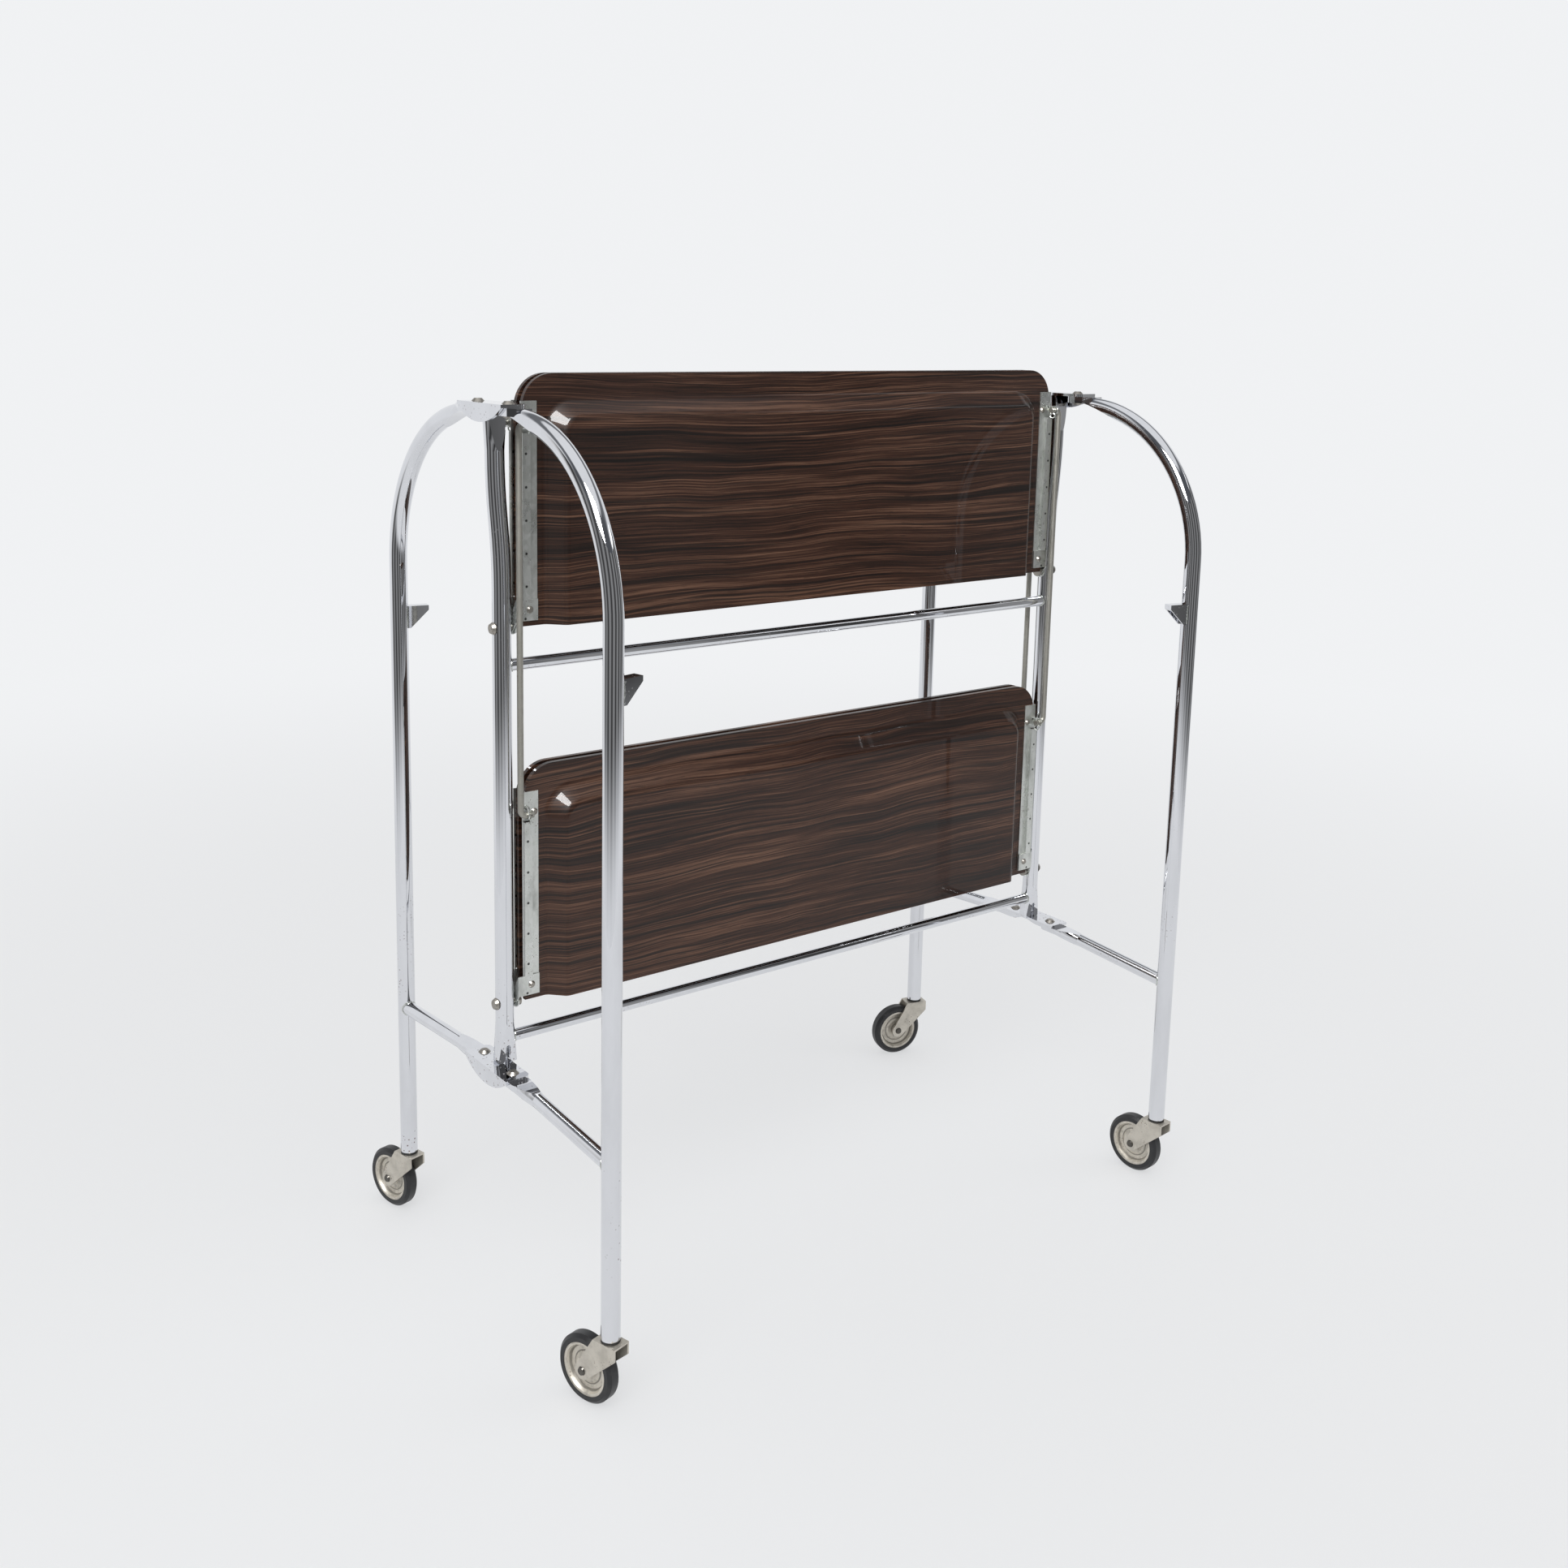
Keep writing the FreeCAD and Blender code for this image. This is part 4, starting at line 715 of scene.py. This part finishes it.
class TROLLEY_OT_welds(Operator):
    """Lay weld beads where rails, stretchers and brackets meet the tubes"""

    bl_idname = "trolley.welds"
    bl_label = "Welds"

    def execute(self, context):
        steel = worn_metal("weld_steel", self.colours.zinc, self.colours,
                           shine=0.95, rough=(0.2, 0.4), rusty=0.2)
        rng = random.Random(WELD_SEED)
        for level in LEVELS:
            for side, sx in SIDES:
                shape = self.rail_weld(level, side, sx, rng)
                name = f"rail_weld_{level}_{side}"
                add_piece(name, to_mesh(shape, name), steel, "frame")
        for corner, _, sy in CORNERS:
            shape = bmesh.new()
            self.stretcher_weld(shape, corner, sy, rng)
            self.bracket_welds(shape, corner, rng)
            name = f"leg_welds_{corner}"
            add_piece(name, to_mesh(shape, name), steel, f"leg_{corner}")
        return {"FINISHED"}

    def rail_weld(self, level, side, sx, rng):
        """A bead round the end of a rail, on the post."""
        shape = bmesh.new()
        low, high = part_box(f"{level}_rail")
        post_radius = self.fittings.tube_radius
        if level == "lower":
            post_radius += self.fittings.post_swell
        centre = Vector((post_axis(side).x, MIDDLE, (low.z + high.z) / 2))
        line = saddle(centre, Vector((-sx, 0, 0)), UP, (high.z - low.z) / 2, post_radius)
        bead(shape, line, self.fittings.weld_bead, rng)
        return shape

    def stretcher_weld(self, shape, corner, sy, rng):
        """A bead round the end of a stretcher, on the leg."""
        axis = leg_axis(corner)
        radius = self.fittings.stretcher_radius
        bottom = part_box(f"stretcher_{corner}")[0].z
        centre = Vector((axis.x, axis.y, bottom + radius * STRETCHER_LIFT))
        line = saddle(centre, Vector((0, -sy, 0)), UP, radius, self.fittings.tube_radius)
        bead(shape, line, self.fittings.weld_bead, rng)

    def bracket_welds(self, shape, corner, rng):
        """A bead up each side of a bracket, on the leg."""
        axis = leg_axis(corner)
        low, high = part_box(f"tray_bracket_{corner}")
        reach = ((low + high) / 2 - axis).to_2d().normalized().to_3d()
        across = reach.cross(UP) * self.fittings.bracket_width / 2
        out = math.sqrt(self.fittings.tube_radius ** 2 - across.length ** 2)
        start, span = BRACKET_WELD
        heights = [low.z + (high.z - low.z) * (start + span * k / BEAD_STEPS)
                   for k in range(BEAD_STEPS + 1)]
        for way in (-1, 1):
            foot = Vector((axis.x, axis.y, 0)) + reach * out + across * way
            bead(shape, [foot + UP * height for height in heights],
                 self.fittings.weld_bead * THIN_BEAD, rng, closed=False)


class TROLLEY_OT_split_pins(Operator):
    """Put a split pin through each hook of the link rods"""

    bl_idname = "trolley.split_pins"
    bl_label = "Split pins"

    def execute(self, context):
        steel = worn_metal("split_pin_steel", self.colours.zinc, self.colours,
                           rough=(0.2, 0.4), rusty=0.5)
        for corner, sx, sy in CORNERS:
            low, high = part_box(f"link_rod_{corner}")
            shape = bmesh.new()
            for z in (low.z + ROD_RADIUS, high.z - ROD_RADIUS):
                self.split_pin(shape, Vector((sx * PIN_LINE, (low.y + high.y) / 2, z)), sx, sy)
            name = f"split_pins_{corner}"
            add_piece(name, to_mesh(shape, name), steel, f"rod_{corner}")
        return {"FINISHED"}

    def split_pin(self, shape, centre, sx, sy):
        """An eye below the rod and two bent legs above it, the one by the leg of
        the trolley cut short to clear the bracket."""
        wire = self.fittings.pin_wire / 2
        eye = self.fittings.pin_eye
        leg = self.fittings.pin_leg
        flat = Vector((0.35 * sx, 0.94 * sy, 0))
        loop = [centre - UP * (ROD_RADIUS + eye) + eye * (math.cos(t) * UP + math.sin(t) * flat)
                for t in turns(16)]
        sweep(shape, loop, wire, 8, closed=True)
        for way, reach in ((-sy, 1.0), (sy, 0.5)):
            top = centre + UP * ROD_RADIUS
            bend = Vector((-0.25 * sx, way, 0.30)).normalized()
            path = [centre - UP * (ROD_RADIUS + PIN_HEAD), centre, top]
            path += [top + UP * PIN_BEND + bend * leg * reach * t for t in (0.12, 0.5, 1.0)]
            sweep(shape, path, wire * 0.8, 8)


class TROLLEY_OT_stage(Operator):
    """Make the floor, the lamps, the even room light and the camera"""

    bl_idname = "trolley.stage"
    bl_label = "Studio"

    def execute(self, context):
        studio = context.scene.trolley_studio
        self.make_floor()
        self.make_world(studio)
        self.add_lamp("key_lamp", *KEY_LAMP, studio.key_power)
        self.add_lamp("fill_lamp", *FILL_LAMP, studio.fill_power)
        # The window shows in the gloss alone and lights nothing.
        self.add_lamp("window", *WINDOW, studio.window_power).visible_diffuse = False
        self.make_room()
        self.make_camera(context, studio)
        context.scene.view_settings.view_transform = "Standard"
        return {"FINISHED"}

    def make_floor(self):
        material, graph = new_finish("studio_floor")
        reach = graph.vector("LENGTH", graph.place(), result="Value")
        # Away from the trolley the floor fades into the backdrop.
        far = graph.spread(reach, 0.7, 2.6, 0.62, 1.0)
        path = graph.make("LightPath")
        seen = path["Is Camera Ray"].most(path["Is Glossy Ray"])
        cloth = graph.make("BsdfPrincipled", None, {
            "Base Color": self.colours.floor, "Roughness": 0.7, "Specular IOR Level": 0.1})["BSDF"]
        glow = graph.make("Emission", None, {"Color": BACKDROP, "Strength": 1.0})["Emission"]
        mixed = graph.make("MixShader", None, {0: far * seen, 1: cloth, 2: glow})["Shader"]
        graph.make("OutputMaterial", None, {"Surface": mixed})
        shape = bmesh.new()
        bmesh.ops.create_circle(shape, cap_ends=True, radius=FLOOR_RADIUS, segments=96)
        floor = bpy.data.objects.new("floor", to_mesh(shape, "floor"))
        floor.data.materials.append(material)
        bpy.context.scene.collection.objects.link(floor)

    def make_world(self, studio):
        world = bpy.data.worlds.new("studio_world")
        bpy.context.scene.world = world
        graph = Graph(world)
        path = graph.make("LightPath")
        seen = path["Is Camera Ray"].most(path["Is Glossy Ray"]).most(path["Is Transmission Ray"])
        heading = graph.split(graph.make("TexCoord")["Generated"])
        onward = heading["X"] * math.sin(studio.azimuth) + heading["Y"] * math.cos(studio.azimuth)
        # Reflections see a pale wall ahead of the camera and a pale ceiling, else a dim room.
        wall = graph.spread(onward, -0.30, 0.0) * graph.spread(heading["Z"], 0.52, 0.66, 1.0, 0.1)
        ceiling = graph.spread(heading["Z"], 0.76, 0.84)
        shown = graph.mix(wall.most(ceiling).most(path["Is Camera Ray"]), DIM_ROOM, BACKDROP)
        shown = graph.mix(seen, (studio.sky,) * 3, shown)
        light = graph.make("Background", None, {"Color": shown, "Strength": 1.0})["Background"]
        graph.make("OutputWorld", None, {"Surface": light})

    def add_lamp(self, name, place, aim, size, power):
        data = bpy.data.lights.new(name, "AREA")
        data.shape = "RECTANGLE"
        data.size, data.size_y = size
        data.energy = power
        lamp = bpy.data.objects.new(name, data)
        lamp.location = place
        lamp.rotation_euler = (Vector(aim) - Vector(place)).to_track_quat("-Z", "Y").to_euler()
        bpy.context.scene.collection.objects.link(lamp)
        return lamp

    def make_room(self):
        """Part of a round wall that only reflections show, dim with paler panels."""
        material, graph = new_finish("room_wall")
        start, stop = ROOM_MIDDLE - ROOM_SPAN / 2, ROOM_MIDDLE + ROOM_SPAN / 2
        parts = graph.split(graph.place())
        # Measured from behind, so that the seam of the angle falls outside the wall.
        heading = graph.make("Math", {"operation": "ARCTAN2"}, {
            0: parts["X"] * -1.0, 1: parts["Y"] * -1.0})["Value"]
        share = (heading * math.degrees(1) + (180 - start)) / (stop - start)
        # Panels and gaps take turns, one step each, between the two pale ends.
        shades = [END_SHADE] + [GAP_SHADE, PANEL_SHADE] * ROOM_PANELS + [GAP_SHADE, END_SHADE]
        stops = [(k / (len(shades) - 1), (shade,) * 3) for k, shade in enumerate(shades)]
        shade = graph.make("ValToRGB", {"stops": stops, "ease": "EASE"}, {"Fac": share})["Color"]
        shade = graph.mix(graph.spread(parts["Z"], 0.0, 0.28, 0.9, 0.0), shade, BACKDROP)
        glow = graph.make("Emission", None, {"Color": shade, "Strength": 1.0})["Emission"]
        graph.make("OutputMaterial", None, {"Surface": glow})
        shape = bmesh.new()
        steps = 96
        headings = [math.radians(start + (stop - start) * k / steps) for k in range(steps + 1)]
        rings = [[shape.verts.new((ROOM_RADIUS * math.sin(a), ROOM_RADIUS * math.cos(a), height))
                  for a in headings] for height in (0.0, ROOM_HEIGHT)]
        for k in range(steps):
            shape.faces.new((rings[0][k], rings[0][k + 1], rings[1][k + 1], rings[1][k]))
        room = bpy.data.objects.new("room_wall", to_mesh(shape, "room_wall"))
        room.data.materials.append(material)
        room.visible_camera = room.visible_diffuse = room.visible_shadow = False
        bpy.context.scene.collection.objects.link(room)

    def make_camera(self, context, studio):
        data = bpy.data.cameras.new("camera")
        data.sensor_width = 36.0
        data.lens = studio.lens
        data.shift_x, data.shift_y = studio.shift
        camera = bpy.data.objects.new("camera", data)
        azimuth, pitch, roll = studio.azimuth, studio.pitch, studio.roll
        ahead = Vector((math.sin(azimuth), math.cos(azimuth), 0))
        forward = ahead * math.cos(pitch) - UP * math.sin(pitch)
        level = Vector((math.cos(azimuth), -math.sin(azimuth), 0))
        lifted = level.cross(forward)
        right = math.cos(roll) * level + math.sin(roll) * lifted
        up = math.cos(roll) * lifted - math.sin(roll) * level
        turn = Matrix((right, up, -forward)).transposed().to_4x4()
        camera.matrix_world = Matrix.Translation(studio.camera_place) @ turn
        context.scene.collection.objects.link(camera)
        context.scene.camera = camera


OPERATORS = (
    TROLLEY_OT_tubes, TROLLEY_OT_leaves, TROLLEY_OT_hardware, TROLLEY_OT_castors,
    TROLLEY_OT_welds, TROLLEY_OT_split_pins, TROLLEY_OT_stage,
)


class TROLLEY_PT_panel(bpy.types.Panel):
    """Lists the steps that dress the trolley"""

    bl_label = "Tea trolley"
    bl_idname = "TROLLEY_PT_panel"
    bl_space_type = "VIEW_3D"
    bl_region_type = "UI"
    bl_category = "Trolley"

    def draw(self, context):
        for operator in OPERATORS:
            self.layout.operator(operator.bl_idname)
        for group in (context.scene.trolley_colours, context.scene.trolley_fittings,
                      context.scene.trolley_studio):
            column = self.layout.column()
            for name in group.__annotations__:
                column.prop(group, name)


GROUPS = (
    ("trolley_colours", TrolleyColours),
    ("trolley_fittings", TrolleyFittings),
    ("trolley_studio", TrolleyStudio),
)


def register():
    for name, group in GROUPS:
        bpy.utils.register_class(group)
        setattr(bpy.types.Scene, name, bpy.props.PointerProperty(type=group))
    for item in (*OPERATORS, TROLLEY_PT_panel):
        bpy.utils.register_class(item)


def unregister():
    for item in reversed((*OPERATORS, TROLLEY_PT_panel)):
        bpy.utils.unregister_class(item)
    for name, group in reversed(GROUPS):
        delattr(bpy.types.Scene, name)
        bpy.utils.unregister_class(group)


def main():
    register()
    for operator in OPERATORS:
        group, name = operator.bl_idname.split(".")
        getattr(getattr(bpy.ops, group), name)()


if __name__ == "__main__":
    main()
